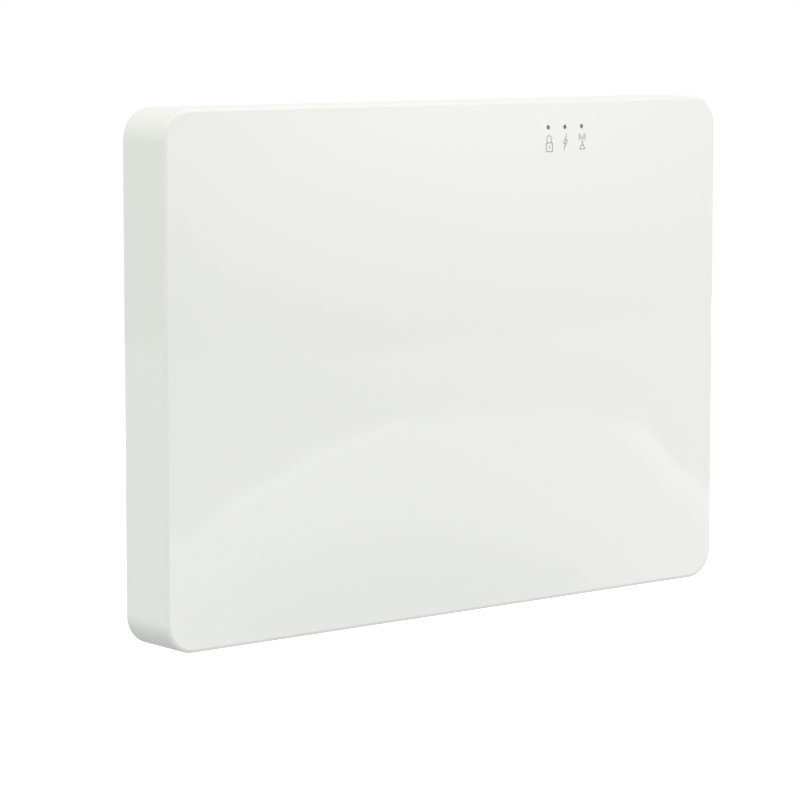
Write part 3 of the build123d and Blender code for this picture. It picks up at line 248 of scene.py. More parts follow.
def makeBoardSkin():
    # solder mask over copper: bundles of tracks, open copper areas, small covered vias with painted shade in
    # their holes, bare cut edges
    tree, given, made = newGroup(
        "boardSkin",
        [
            ("Mask Colour", "Color", (0.02, 0.15, 0.05, 1.0)),
            ("Copper Colour", "Color", (0.04, 0.24, 0.08, 1.0)),
            ("Edge Colour", "Color", (0.42, 0.38, 0.18, 1.0)),
            ("Track Pitch", "Float", 0.8),
            ("Bundle Size", "Float", 13.0),
            ("Via Spacing", "Float", 4.5),
        ],
        [("Colour", "Color"), ("Roughness", "Float"), ("Height", "Float")],
    )
    pattern = boardPattern
    inMm = addNode(tree, "SeparateXYZ", {0: scaled(tree, objectPlace(tree), 1 / mm)}).outputs
    place = addNode(tree, "CombineXYZ", {0: inMm[0], 1: inMm[2]}).outputs[0]

    def lines(distance, offset):
        moved = addNode(tree, "VectorMath", {0: place, 1: offset}, operation="ADD").outputs[0]
        perMm = calc(tree, "DIVIDE", 1.0, given["Bundle Size"])
        sockets = {"Vector": moved, "Scale": perMm, "Randomness": pattern["jitter"]}
        cells = addNode(tree, "TexVoronoi", sockets, voronoi_dimensions="2D", distance=distance)
        away = calc(tree, "MULTIPLY", cells.outputs["Distance"], given["Bundle Size"])
        turn = calc(tree, "FRACT", calc(tree, "DIVIDE", away, given["Track Pitch"]))
        middle = calc(tree, "ABSOLUTE", calc(tree, "SUBTRACT", turn, 0.5))
        return rescale(tree, middle, *pattern["line"])

    straight = lines("CHEBYCHEV", (0.0, 0.0, 0.0))
    slanted = lines("MANHATTAN", pattern["slantedShift"])
    isStraight = rescale(tree, noise(tree, place, pattern["fieldScale"], 1.0), *pattern["straightField"])
    pour = rescale(tree, noise(tree, place, pattern["pourScale"], 0.0), *pattern["pourField"])
    straight = calc(tree, "MULTIPLY", straight, isStraight)
    slanted = calc(tree, "MULTIPLY", slanted, calc(tree, "SUBTRACT", 1.0, isStraight))
    tracks = calc(tree, "ADD", straight, slanted, clamp=True)
    copper = calc(tree, "MAXIMUM", tracks, pour)
    perMm = calc(tree, "DIVIDE", 1.0, given["Via Spacing"])
    sockets = {"Vector": place, "Scale": perMm, "Randomness": 1.0}
    dots = addNode(tree, "TexVoronoi", sockets, voronoi_dimensions="2D")
    away = calc(tree, "MULTIPLY", dots.outputs["Distance"], given["Via Spacing"])
    hole = rescale(tree, away, *pattern["viaHole"])
    copper = calc(tree, "MAXIMUM", copper, rescale(tree, away, *pattern["via"]))
    face = mixColours(tree, copper, given["Mask Colour"], given["Copper Colour"])
    # the near-black disc in each via is painted shade of its hole
    face = mixColours(tree, hole, face, pattern["holeShadeColour"])
    forward = addNode(tree, "SeparateXYZ", {0: addNode(tree, "TexCoord").outputs["Normal"]}).outputs[1]
    cut = rescale(tree, calc(tree, "ABSOLUTE", forward), *pattern["cut"])
    fibres = noise(tree, scaled(tree, place, pattern["fibreScale"]), 1.0, 2.0)
    edge = scaled(tree, given["Edge Colour"], calc(tree, "ADD", fibres, 0.5))
    plug(tree, made["Colour"], mixColours(tree, cut, face, edge))
    smear = noise(tree, place, pattern["smearScale"], 3.0)
    smear = rescale(tree, smear, *pattern["smear"], *pattern["smearRoughness"])
    rough = calc(tree, "ADD", smear, calc(tree, "MULTIPLY", cut, pattern["cutRoughness"]))
    plug(tree, made["Roughness"], rough)
    plug(tree, made["Height"], calc(tree, "SUBTRACT", copper, hole))
    return tree


mouldedSkin = makeMouldedSkin()
metalSkin = makeMetalSkin()
edgeMask = makeEdgeMask()
softEdge = makeSoftEdge()
boardSkin = makeBoardSkin()
print("node groups made")


# materials
def newMaterial(name):
    material = bpy.data.materials.new(name)
    material.use_nodes = True
    tree = material.node_tree
    return material, tree, tree.nodes["Principled BSDF"]


def addBump(tree, shader, height, depth, normal=None):
    bump = addNode(tree, "Bump", {"Height": height, "Distance": depth})
    if normal is not None:
        plug(tree, bump.inputs["Normal"], normal)
    plug(tree, shader.inputs["Normal"], bump.outputs[0])


# what a finish has where its own look says nothing: lengths in mm, grain, streaks and patches per m; edge,
# edgeShare and edgeBrighter set the painted highlight along sharp edges
usualMoulded = {
    "mottle": 0.03, "patches": 40.0, "grain": 2500.0, "grainDepth": 0.006, "glossSpread": 0.08,
    "edge": 0.2, "edgeShare": 0.5, "ior": 1.5,
}
usualMetal = {
    "stretch": (1.0, 1.0, 0.12), "streaks": 2500.0, "streakDepth": 0.004, "patches": 260.0, "dulling": 0.15,
    "edge": 0.12, "edgeShare": 0.6, "edgeBrighter": 1.25, "edgeBrightest": 0.95,
}


def makeMoulded(name, look):
    look = {**usualMoulded, **look}
    material, tree, shader = newMaterial(name)
    skin = useGroup(tree, mouldedSkin, {
        "Colour": (*look["colour"], 1.0),
        "Mottle": look["mottle"],
        "Patches": look["patches"],
        "Grain": look["grain"],
        "Roughness": look["roughness"],
        "Gloss Spread": look["glossSpread"],
    })
    colour = skin["Colour"]
    # a lighter edgeColour along sharp edges is a painted highlight
    if "edgeColour" in look:
        edgeGlint = useGroup(tree, edgeMask, {"Width": look["edge"] * mm})["Mask"]
        edgeGlint = calc(tree, "MULTIPLY", edgeGlint, look["edgeShare"])
        colour = mixColours(tree, edgeGlint, colour, (*look["edgeColour"], 1.0))
    plug(tree, shader.inputs["Base Color"], colour)
    plug(tree, shader.inputs["Roughness"], skin["Roughness"])
    shader.inputs["IOR"].default_value = look["ior"]
    normal = None
    if "softEdge" in look:
        normal = useGroup(tree, softEdge, {"Radius": look["softEdge"] * mm})["Normal"]
    addBump(tree, shader, skin["Height"], look["grainDepth"] * mm, normal)
    return material


def makeMetal(name, look):
    look = {**usualMetal, **look}
    material, tree, shader = newMaterial(name)
    skin = useGroup(tree, metalSkin, {
        "Colour": (*look["colour"], 1.0),
        "Stretch": look["stretch"],
        "Streaks": look["streaks"],
        "Patches": look["patches"],
        "Roughness": look["roughness"],
        "Dulling": look["dulling"],
    })
    # the brighter colour along sharp edges is a painted highlight
    edgeGlint = useGroup(tree, edgeMask, {"Width": look["edge"] * mm})["Mask"]
    edgeGlint = calc(tree, "MULTIPLY", edgeGlint, look["edgeShare"])
    bright = [min(look["edgeBrightest"], part * look["edgeBrighter"]) for part in look["colour"]]
    plug(tree, shader.inputs["Base Color"], mixColours(tree, edgeGlint, skin["Colour"], (*bright, 1.0)))
    plug(tree, shader.inputs["Roughness"], skin["Roughness"])
    shader.inputs["Metallic"].default_value = 1.0
    addBump(tree, shader, skin["Height"], look["streakDepth"] * mm)
    return material


def makeBoard(name, look):
    material, tree, shader = newMaterial(name)
    skin = useGroup(tree, boardSkin, {
        "Mask Colour": (*look["mask"], 1.0),
        "Copper Colour": (*look["copper"], 1.0),
        "Edge Colour": (*look["edge"], 1.0),
        "Track Pitch": look["trackPitch"],
        "Bundle Size": look["bundleSize"],
        "Via Spacing": look["viaSpacing"],
    })
    plug(tree, shader.inputs["Base Color"], skin["Colour"])
    plug(tree, shader.inputs["Roughness"], skin["Roughness"])
    addBump(tree, shader, skin["Height"], look["copperHeight"] * mm)
    return material


def paint(slot, material):
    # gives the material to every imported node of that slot
    for name, node in nodes.items():
        if slotOf[name] == slot:
            node.material_slots[0].material = material


housingLooks = {
    "cover_plastic": {
        "colour": (0.82, 0.825, 0.805), "roughness": 0.045, "glossSpread": 0.01, "mottle": 0.006,
        "patches": 7.0, "grain": 1500.0, "grainDepth": 0.0006,
    },
    "base_plastic": {
        "colour": (0.78, 0.785, 0.765), "roughness": 0.42, "softEdge": 0.35, "mottle": 0.015,
        "patches": 10.0, "grain": 2200.0, "grainDepth": 0.01,
    },
    "strap_plastic": {
        "colour": (0.75, 0.755, 0.735), "roughness": 0.36, "softEdge": 0.3, "mottle": 0.02, "patches": 30.0,
    },
    "clamp_plastic": {
        "colour": (0.66, 0.67, 0.66), "roughness": 0.4, "softEdge": 0.3, "mottle": 0.03, "patches": 40.0,
    },
}
# each edgeColour here is a painted highlight along sharp edges
smallPlasticLooks = {
    "black_plastic": {"colour": (0.022, 0.022, 0.023), "roughness": 0.5, "edgeColour": (0.09, 0.09, 0.09)},
    "sounder_plastic": {
        "colour": (0.02, 0.02, 0.021), "roughness": 0.42, "grain": 1600.0, "grainDepth": 0.012,
        "edgeColour": (0.1, 0.1, 0.1), "softEdge": 0.3,
    },
    "switch_plastic": {"colour": (0.03, 0.03, 0.032), "roughness": 0.45, "edgeColour": (0.1, 0.1, 0.1)},
    "plunger_plastic": {"colour": (0.74, 0.73, 0.68), "roughness": 0.35, "softEdge": 0.2},
    "button_plastic": {"colour": (0.028, 0.028, 0.028), "roughness": 0.38, "edgeColour": (0.12, 0.12, 0.12)},
    "card_holder_plastic": {
        "colour": (0.025, 0.025, 0.027), "roughness": 0.48, "edgeColour": (0.1, 0.1, 0.1),
    },
    "card_plastic": {"colour": (0.72, 0.74, 0.78), "roughness": 0.32, "mottle": 0.02},
    "green_terminal": {
        "colour": (0.035, 0.27, 0.1), "roughness": 0.38, "softEdge": 0.2, "edgeColour": (0.09, 0.4, 0.2),
    },
    "grey_terminal": {
        "colour": (0.27, 0.28, 0.29), "roughness": 0.42, "softEdge": 0.2, "edgeColour": (0.42, 0.43, 0.44),
    },
    "fuse_holder_plastic": {"colour": (0.03, 0.03, 0.03), "roughness": 0.4, "edgeColour": (0.12, 0.12, 0.12)},
    "choke_plastic": {"colour": (0.028, 0.028, 0.03), "roughness": 0.46, "edgeColour": (0.11, 0.11, 0.11)},
    "film_capacitor_plastic": {
        "colour": (0.66, 0.44, 0.045), "roughness": 0.3, "softEdge": 0.3, "edgeColour": (0.8, 0.6, 0.16),
    },
    "varistor_coating": {
        "colour": (0.02, 0.12, 0.3), "roughness": 0.22, "mottle": 0.12, "patches": 260.0, "grain": 700.0,
        "grainDepth": 0.06, "softEdge": 0.6,
    },
    "header_nylon": {"colour": (0.72, 0.7, 0.62), "roughness": 0.4, "softEdge": 0.2, "mottle": 0.03},
    "processor_epoxy": {
        "colour": (0.022, 0.022, 0.023), "roughness": 0.5, "grain": 5000.0, "grainDepth": 0.006,
        "edgeColour": (0.07, 0.07, 0.07),
    },
    "chip_epoxy": {
        "colour": (0.026, 0.026, 0.027), "roughness": 0.48, "grain": 5000.0, "grainDepth": 0.006,
        "edgeColour": (0.07, 0.07, 0.07),
    },
    "resistor_ceramic": {"colour": (0.02, 0.02, 0.024), "roughness": 0.3, "mottle": 0.1, "patches": 900.0},
    "ferrite": {
        "colour": (0.04, 0.04, 0.043), "roughness": 0.55, "mottle": 0.15, "patches": 500.0, "grain": 3000.0,
        "grainDepth": 0.02, "edgeColour": (0.13, 0.13, 0.13),
    },
    "winding_tape": {
        "colour": (0.72, 0.5, 0.05), "roughness": 0.24, "mottle": 0.06, "patches": 160.0, "grain": 300.0,
        "grainDepth": 0.05,
    },
    "red_wire": {"colour": (0.5, 0.018, 0.014), "roughness": 0.34, "mottle": 0.05, "patches": 300.0},
    "black_wire": {"colour": (0.016, 0.016, 0.017), "roughness": 0.36, "mottle": 0.1, "patches": 300.0},
    "battery_film": {
        "colour": (0.02, 0.09, 0.34), "roughness": 0.2, "mottle": 0.06, "patches": 60.0, "grain": 150.0,
        "grainDepth": 0.09, "glossSpread": 0.12,
    },
}
metalLooks = {
    "zinc_screws": {"colour": (0.62, 0.62, 0.6), "roughness": 0.26},
    "zinc_nuts": {"colour": (0.6, 0.58, 0.5), "roughness": 0.34},
    "cell_steel": {"colour": (0.66, 0.66, 0.64), "roughness": 0.24, "stretch": (1.0, 1.0, 0.05)},
    "switch_steel": {"colour": (0.6, 0.6, 0.59), "roughness": 0.3},
    "lid_steel": {"colour": (0.62, 0.62, 0.61), "roughness": 0.27, "stretch": (0.05, 1.0, 1.0)},
    "socket_steel": {"colour": (0.62, 0.62, 0.6), "roughness": 0.28, "stretch": (0.06, 1.0, 1.0)},
    "gilt_contacts": {"colour": (0.78, 0.57, 0.22), "roughness": 0.22},
    "terminal_steel": {"colour": (0.6, 0.6, 0.57), "roughness": 0.28},
    "shield_tin": {"colour": (0.66, 0.66, 0.63), "roughness": 0.3, "stretch": (0.06, 1.0, 1.0)},
    "module_shield": {"colour": (0.62, 0.63, 0.63), "roughness": 0.24, "stretch": (1.0, 1.0, 0.06)},
    "antenna_metal": {"colour": (0.68, 0.65, 0.56), "roughness": 0.3, "stretch": (1.0, 1.0, 0.06)},
}
boardLooks = {
    "main_laminate": {
        "mask": (0.012, 0.11, 0.036), "copper": (0.024, 0.17, 0.055), "edge": (0.4, 0.36, 0.17),
        "trackPitch": 0.8, "bundleSize": 13.0, "viaSpacing": 5.0, "copperHeight": 0.03,
    },
    "power_laminate": {
        "mask": (0.012, 0.11, 0.036), "copper": (0.024, 0.17, 0.055), "edge": (0.4, 0.36, 0.17),
        "trackPitch": 2.6, "bundleSize": 19.0, "viaSpacing": 9.0, "copperHeight": 0.03,
    },
    "module_laminate": {
        "mask": (0.008, 0.03, 0.11), "copper": (0.016, 0.055, 0.17), "edge": (0.3, 0.3, 0.16),
        "trackPitch": 0.6, "bundleSize": 6.0, "viaSpacing": 2.6, "copperHeight": 0.03,
    },
}
for looks, maker in (
    (housingLooks, makeMoulded),
    (smallPlasticLooks, makeMoulded),
    (metalLooks, makeMetal),
    (boardLooks, makeBoard),
):
    for slot, look in looks.items():
        paint(slot, maker(slot, look))


# the clear light guide, and finishes that change to a second one over a part of the piece
clearLook = {
    "colour": (0.86, 0.88, 0.84), "roughness": 0.08, "grainDepth": 0.004, "clearness": 0.85, "ior": 1.49,
}
canLook = {
    "body": (0.012, 0.016, 0.045), "roughness": 0.25, "patches": 200.0, "grainDepth": 0.004,
    "second": (0.62, 0.62, 0.6), "secondRoughness": 0.32, "secondIsMetal": True, "facing": (-0.85, -0.95),
}
lampLook = {
    "body": (0.74, 0.73, 0.68), "roughness": 0.2, "patches": 200.0, "grainDepth": 0.004,
    "second": (0.74, 0.66, 0.22), "secondRoughness": 0.12, "secondIsMetal": False,
    "bodyTop": 11.2, "blend": 0.05,
}
fuseLook = {
    "body": (0.76, 0.75, 0.7), "roughness": 0.24, "patches": 200.0, "grainDepth": 0.004,
    "second": (0.6, 0.6, 0.58), "secondRoughness": 0.24, "secondIsMetal": True,
    "middleZ": 35.0, "halfTube": 5.2, "blend": 0.05,
}


def makeClear(name, look):
    material, tree, shader = newMaterial(name)
    skin = useGroup(tree, mouldedSkin, {"Colour": (*look["colour"], 1.0), "Roughness": look["roughness"]})
    plug(tree, shader.inputs["Base Color"], skin["Colour"])
    plug(tree, shader.inputs["Roughness"], skin["Roughness"])
    shader.inputs["Transmission Weight"].default_value = look["clearness"]
    shader.inputs["IOR"].default_value = look["ior"]
    addBump(tree, shader, skin["Height"], look["grainDepth"] * mm)
    return material


def makeTwoTone(name, mask, look):
    # mask is a function that builds the share of the second finish in a tree
    material, tree, shader = newMaterial(name)
    share = mask(tree)
    skin = useGroup(tree, mouldedSkin, {
        "Colour": (*look["body"], 1.0), "Roughness": look["roughness"], "Patches": look["patches"],
    })
    second = useGroup(tree, metalSkin, {
        "Colour": (*look["second"], 1.0), "Roughness": look["secondRoughness"],
    })
    plug(tree, shader.inputs["Base Color"], mixColours(tree, share, skin["Colour"], second["Colour"]))
    rough = calc(tree, "ADD", calc(tree, "MULTIPLY", second["Roughness"], share),
                 calc(tree, "MULTIPLY", skin["Roughness"], calc(tree, "SUBTRACT", 1.0, share)))
    plug(tree, shader.inputs["Roughness"], rough)
    if look["secondIsMetal"]:
        plug(tree, shader.inputs["Metallic"], share)
    addBump(tree, shader, skin["Height"], look["grainDepth"] * mm)
    return material


def canTops(tree):
    forward = addNode(tree, "SeparateXYZ", {0: addNode(tree, "TexCoord").outputs["Normal"]}).outputs[1]
    return rescale(tree, forward, *canLook["facing"])


def lampLenses(tree):
    y = addNode(tree, "SeparateXYZ", {0: objectPlace(tree)}).outputs[1]
    return rescale(tree, y, -lampLook["bodyTop"] * mm, -(lampLook["bodyTop"] + lampLook["blend"]) * mm)


def fuseCaps(tree):
    z = addNode(tree, "SeparateXYZ", {0: objectPlace(tree)}).outputs[2]
    away = calc(tree, "ABSOLUTE", calc(tree, "SUBTRACT", z, fuseLook["middleZ"] * mm))
    return rescale(tree, away, fuseLook["halfTube"] * mm, (fuseLook["halfTube"] + fuseLook["blend"]) * mm)


paint("clear_plastic", makeClear("clear_plastic", clearLook))
for slot, mask, look in (
    ("capacitor_sleeve", canTops, canLook),
    ("lamp_resin", lampLenses, lampLook),
    ("fuse_ceramic", fuseCaps, fuseLook),
):
    paint(slot, makeTwoTone(slot, mask, look))
print("finishes on the packed nodes")


# mesh helpers: every piece is built straight in the model's frame, in metres
def finishPiece(name, mesh, material, body, smooth=False):
    bmesh.ops.recalc_face_normals(mesh, faces=mesh.faces)
    data = bpy.data.meshes.new(name)
    mesh.to_mesh(data)
    mesh.free()
    data.materials.append(material)
    for face in data.polygons:
        face.use_smooth = smooth
    piece = bpy.data.objects.new(name, data)
    bpy.context.scene.collection.objects.link(piece)
    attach(piece, body)


def addBand(mesh, rings, closed=False):
    # joins four-cornered cross-sections into a band: closed to a loop, or with a face at each end
    corners = [[mesh.verts.new(point) for point in ring] for ring in rings]
    pairs = list(zip(corners, corners[1:]))
    if closed:
        pairs.append((corners[-1], corners[0]))
    for first, second in pairs:
        for i in range(4):
            j = (i + 1) % 4
            mesh.faces.new((first[i], first[j], second[j], second[i]))
    if not closed:
        mesh.faces.new(corners[0])
        mesh.faces.new(corners[-1])


sharpestCorner = 0.45  # limits how far a stroke's outer side reaches at a sharp bend


def addStroke(mesh, path, width, place, lift, sink, closed=False):
    # a drawn line of constant width along path, from sink under to lift over the surface that place gives
    path = [Vector(point) for point in path]
    rings = []
    for i, here in enumerate(path):
        ways = []
        if closed or i > 0:
            ways.append((here - path[i - 1]).normalized())
        if closed or i < len(path) - 1:
            ways.append((path[(i + 1) % len(path)] - here).normalized())
        along = sum(ways, Vector((0.0, 0.0))).normalized()
        across = Vector((-along.y, along.x))
        corner = max(sharpestCorner, across.dot(Vector((-ways[0].y, ways[0].x))))
        offset = across * width / 2 / corner
        left, right = here + offset, here - offset
        rings.append([place(left, lift), place(right, lift), place(right, -sink), place(left, -sink)])
    addBand(mesh, rings, closed)


def arc(centre, radius, start, end, steps):
    angles = [math.radians(start + (end - start) * i / steps) for i in range(steps + 1)]
    return [(centre[0] + radius * math.cos(a), centre[1] + radius * math.sin(a)) for a in angles]


def circle(centre, radius, steps):
    return arc(centre, radius, 0, 360, steps)[:-1]


# the three outline icons under the pinholes, printed on the cover; all in mm
frontFace = {
    "width": (cadBox[1][0] - cadBox[0][0]) / mm,
    "height": (cadBox[1][2] - cadBox[0][2]) / mm,
    "depth": -cadBox[0][1] / mm,
    "dome": 3.5,
}
iconPrint = {
    "stroke": 0.32, "lift": 0.012, "sink": 0.03,
    "ink": {
        "colour": (0.27, 0.28, 0.27), "roughness": 0.35, "mottle": 0.08, "patches": 900.0,
        "grainDepth": 0.002,
    },
}
padlock = {
    "x": 46.8, "width": 3.3, "bottom": 80.3, "bodyTop": 83.8, "top": 86.7, "corner": 0.22, "shackle": 2.3,
    "keyholeFoot": 81.6, "keyholeTop": 82.6,
}
bolt = {"outline": [(56.4, 87.3), (54.55, 83.5), (55.5, 83.5), (54.55, 80.6), (56.6, 84.6), (55.7, 84.6)]}
mast = {
    "x": 64.7, "foot": 80.9, "halfFoot": 1.2, "halfGround": 1.6, "rung": 82.3, "halfRung": 0.6,
    "fork": 84.1, "top": 85.9, "waves": (0.95, 1.75), "halfWave": 50,
}


def onFront(point, lift):
    share = (1 - (2 * point.x / frontFace["width"]) ** 2) * (1 - (2 * point.y / frontFace["height"]) ** 2)
    depth = frontFace["depth"] - frontFace["dome"] * (1 - share) + lift
    return Vector((point.x, -depth, point.y)) * mm


# an icon is a list of paths, each with whether it is closed
def padlockLines():
    x, half, corner = padlock["x"], padlock["width"] / 2, padlock["corner"]
    low, high = padlock["bottom"] + corner, padlock["bodyTop"] - corner
    corners = ((x + half - corner, high), (x - half + corner, high), (x - half + corner, low),
               (x + half - corner, low))
    body = []
    for i, centre in enumerate(corners):
        body += arc(centre, corner, 90 * i, 90 * (i + 1), 5)
    reach = padlock["shackle"] / 2
    shackle = [(x - reach, padlock["bodyTop"])]
    shackle += arc((x, padlock["top"] - reach), reach, 180, 0, 14)
    shackle.append((x + reach, padlock["bodyTop"]))
    keyhole = [(x, padlock["keyholeFoot"]), (x, padlock["keyholeTop"])]
    return [(body, True), (shackle, False), (keyhole, False)]


def mastLines():
    x, foot, top = mast["x"], mast["foot"], (mast["x"], mast["top"])
    level = [(foot, mast["halfGround"]), (mast["rung"], mast["halfRung"])]
    lines = [([(x - half, height), (x + half, height)], False) for height, half in level]
    lines.append(([(x - mast["halfFoot"], foot), (x, mast["fork"]), (x + mast["halfFoot"], foot)], False))
    lines.append(([(x, mast["fork"]), top], False))
    for radius in mast["waves"]:
        for middle in (0, 180):
            wave = arc(top, radius, middle - mast["halfWave"], middle + mast["halfWave"], 10)
            lines.append((wave, False))
    return lines


def makeIcons():
    mesh = bmesh.new()
    for path, closed in padlockLines() + [(bolt["outline"], True)] + mastLines():
        addStroke(mesh, path, iconPrint["stroke"], onFront, iconPrint["lift"], iconPrint["sink"], closed)
    finishPiece("statusIcons", mesh, makeMoulded("iconInk", iconPrint["ink"]), "cover")


makeIcons()
print("icons on the cover")


# small parts on the boards and the battery, fixed to the base; all in mm
boardNames = ("main_board", "power_board")
boardFace = 9.6  # depth of the front of both boards
tinLook = {"colour": (0.66, 0.66, 0.64), "roughness": 0.3, "stretch": (1.0, 1.0, 1.0)}


def looseParts(name):
    # low and high corners, in mm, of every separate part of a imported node
    mesh = bmesh.new()
    mesh.from_mesh(nodes[name].data)
    bmesh.ops.remove_doubles(mesh, verts=mesh.verts, dist=0.001 * mm)
    left, boxes = set(mesh.verts), []
    while left:
        edge, places = [left.pop()], []
        while edge:
            vert = edge.pop()
            places.append(vert.co / mm)
            for link in vert.link_edges:
                other = link.other_vert(vert)
                if other in left:
                    left.discard(other)
                    edge.append(other)
        low = [min(place[i] for place in places) for i in range(3)]
        high = [max(place[i] for place in places) for i in range(3)]
        boxes.append((low, high))
    mesh.free()
    return sorted(boxes)


def onBoard(point, lift):
    return Vector((point[0], -boardFace - lift, point[1])) * mm


def addPrism(mesh, outline, first, second):
    # a closed solid between one outline placed by first and the same outline placed by second
    ends = [[mesh.verts.new(place(point)) for point in outline] for place in (first, second)]
    for i in range(len(outline)):
        j = (i + 1) % len(outline)
        mesh.faces.new((ends[0][i], ends[0][j], ends[1][j], ends[1][i]))
    mesh.faces.new(ends[0])
    mesh.faces.new(ends[1])


# the bends are distances from the chip's side
legLook = {
    "out": 1.0, "thick": 0.14, "inside": 0.1, "shoulder": 0.22, "knee": 0.36, "kneeDrop": 0.1,
    "ankle": 0.5, "ankleRise": 0.12, "heel": 0.62, "bareEnds": 1.0,
    "coarse": {"width": 0.42, "pitch": 1.27}, "fine": {"width": 0.28, "pitch": 0.7},
}


def addLeg(mesh, root, out, height, width):
    # a bent leg: out of the chip's side, down to the board, and a flat foot
    half = legLook["thick"] / 2
    path = [
        (-legLook["inside"], height), (legLook["shoulder"], height),
        (legLook["knee"], height - legLook["kneeDrop"]), (legLook["ankle"], half + legLook["ankleRise"]),
        (legLook["heel"], half), (legLook["out"], half),
    ]
    along = Vector((-out[1], out[0]))
    rings = []
    for i, (away, lift) in enumerate(path):
        before, after = path[max(i - 1, 0)], path[min(i + 1, len(path) - 1)]
        way = Vector((after[0] - before[0], after[1] - before[1])).normalized()
        ring = []
        for side, face in ((-1, 1), (1, 1), (1, -1), (-1, -1)):
            spot = Vector(root) + Vector(out) * (away - way.y * half * face) + along * side * width / 2
            ring.append(onBoard(spot, lift + way.x * half * face))
        rings.append(ring)
    addBand(mesh, rings)


def legPlaces(low, high, pitch, allSides):
    # foot and outward direction of every leg, on the two long sides or on all four
    (x0, _, z0), (x1, _, z1) = low, high
    wide, tall = x1 - x0, z1 - z0

    def spread(start, end):
        count = int((end - start - legLook["bareEnds"]) / pitch) + 1
        return [(start + end) / 2 + (i - (count - 1) / 2) * pitch for i in range(count)]

    places = []
    if allSides or wide >= tall:
        for x in spread(x0, x1):
            places += [((x, z0), (0.0, -1.0)), ((x, z1), (0.0, 1.0))]
    if allSides or tall > wide:
        for z in spread(z0, z1):
            places += [((x0, z), (-1.0, 0.0)), ((x1, z), (1.0, 0.0))]
    return places


def makeChipLegs(material):
    mesh = bmesh.new()
    for node, size, allSides in (
        ("processor", legLook["fine"], True),
        ("support_chips", legLook["coarse"], False),
    ):
        for low, high in looseParts(node):
            middle = (-low[1] - boardFace) / 2
            for root, out in legPlaces(low, high, size["pitch"], allSides):
                addLeg(mesh, root, out, middle, size["width"])
    finishPiece("chipLegs", mesh, material, "base")


# the climb is the solder's way up the end: distance from it, and share of the resistor's height
solderLook = {
    "fillet": 0.45, "foot": 0.02, "toe": 0.1, "climb": [(0.14, 0.3), (0.06, 0.75), (0.02, 1.0)],
    "corner": 0.03, "over": 0.4, "lift": 0.03, "beside": 0.04,
}


def makeResistorEnds(material):
    # tinned end caps running down into a solder fillet
    mesh = bmesh.new()
    look = solderLook
    for low, high in looseParts("chip_resistors"):
        tall = -low[1] - boardFace
        profile = [(-look["fillet"], look["foot"]), (-look["fillet"] / 2, look["toe"])]
        profile += [(-away, share * tall) for away, share in look["climb"]]
        profile += [(look["corner"], tall + look["lift"]), (look["over"], tall + look["lift"])]
        profile.append((look["over"], look["foot"]))
        across = (low[2] - look["beside"], high[2] + look["beside"])
        for start, way in ((low[0], 1.0), (high[0], -1.0)):
            sides = [lambda point, z=z: onBoard((start + way * point[0], z), point[1]) for z in across]
            addPrism(mesh, profile, *sides)
    finishPiece("resistorEnds", mesh, material, "base")


ringLook = {"radius": 3.2, "width": 0.75, "lift": 0.04, "sink": 0.05}


def makeScrewRings(material):
    # bare tinned copper under the heads of the board screws
    mesh = bmesh.new()
    for low, high in looseParts("board_screws"):
        ring = circle(((low[0] + high[0]) / 2, (low[2] + high[2]) / 2), ringLook["radius"], 40)
        addStroke(mesh, ring, ringLook["width"], onBoard, ringLook["lift"], ringLook["sink"], True)
    finishPiece("screwRings", mesh, material, "base")


printLook = {
    "gap": 0.6, "stroke": 0.22, "lift": 0.02, "sink": 0.05, "cut": 1.2, "cutShare": 0.2,
    "ink": {"colour": (0.78, 0.79, 0.77), "roughness": 0.5, "patches": 800.0, "mottle": 0.06},
    "legged": ("processor", "support_chips"),
    "legless": (
        "lead_headers", "tamper_switch", "reset_switch", "battery_switch", "sim_holder", "fuse_holder",
        "mains_choke", "filter_capacitor", "surge_disc", "transformer_core", "mobile_module", "radio_module",
        "mains_terminal", "zone_terminals",
    ),
    "round": "smoothing_capacitors",
}


def makeBoardPrint():
    # an outline with one cut corner round each part, and a circle round each capacitor
    mesh = bmesh.new()
    paths = []
    for node in printLook["legged"] + printLook["legless"]:
        side = printLook["gap"]
        if node in printLook["legged"]:
            side += legLook["out"]
        for (x0, _, z0), (x1, _, z1) in looseParts(node):
            x0, z0, x1, z1 = x0 - side, z0 - side, x1 + side, z1 + side
            cut = min(printLook["cut"], (x1 - x0) * printLook["cutShare"])
            paths.append([(x0 + cut, z1), (x0, z1 - cut), (x0, z0), (x1, z0), (x1, z1)])
    for low, high in looseParts(printLook["round"]):
        middle = ((low[0] + high[0]) / 2, (low[2] + high[2]) / 2)
        paths.append(circle(middle, (high[0] - low[0]) / 2 + printLook["gap"], 36))
    for path in paths:
        addStroke(mesh, path, printLook["stroke"], onBoard, printLook["lift"], printLook["sink"], True)
    finishPiece("boardPrint", mesh, makeMoulded("boardInk", printLook["ink"]), "base")


# each ring of a dome is a share of the radius and a height over the board
padLook = {
    "seed": 7, "step": 5.2, "jitter": 0.3, "share": 0.4, "radius": 0.55,
    "rings": [(1.0, -0.02), (0.9, 0.054), (0.5, 0.09)], "clear": 1.6, "boardEdge": 2.0, "flush": 0.1,
    "offBoard": ("front_cover", "back_box", "light_guide", "light_guide_holder", "cover_nuts"),
}


def within(boxes, x, z, margin):
    # true where the spot lies in one of the boxes, each grown by margin
    return any(low[0] - margin < x < high[0] + margin and low[2] - margin < z < high[2] + margin
               for low, high in boxes)


def meetsBoard(x, z):
    # true where a ray from the front meets the face of a board, and not a hole or a rounded corner
    inFront = Vector((x * mm, cadBox[0][1], z * mm))
    for name in boardNames:
        met, spot = nodes[name].ray_cast(inFront, Vector((0.0, 1.0, 0.0)))[:2]
        if met and abs(spot.y + boardFace * mm) < padLook["flush"] * mm:
            return True
    return False


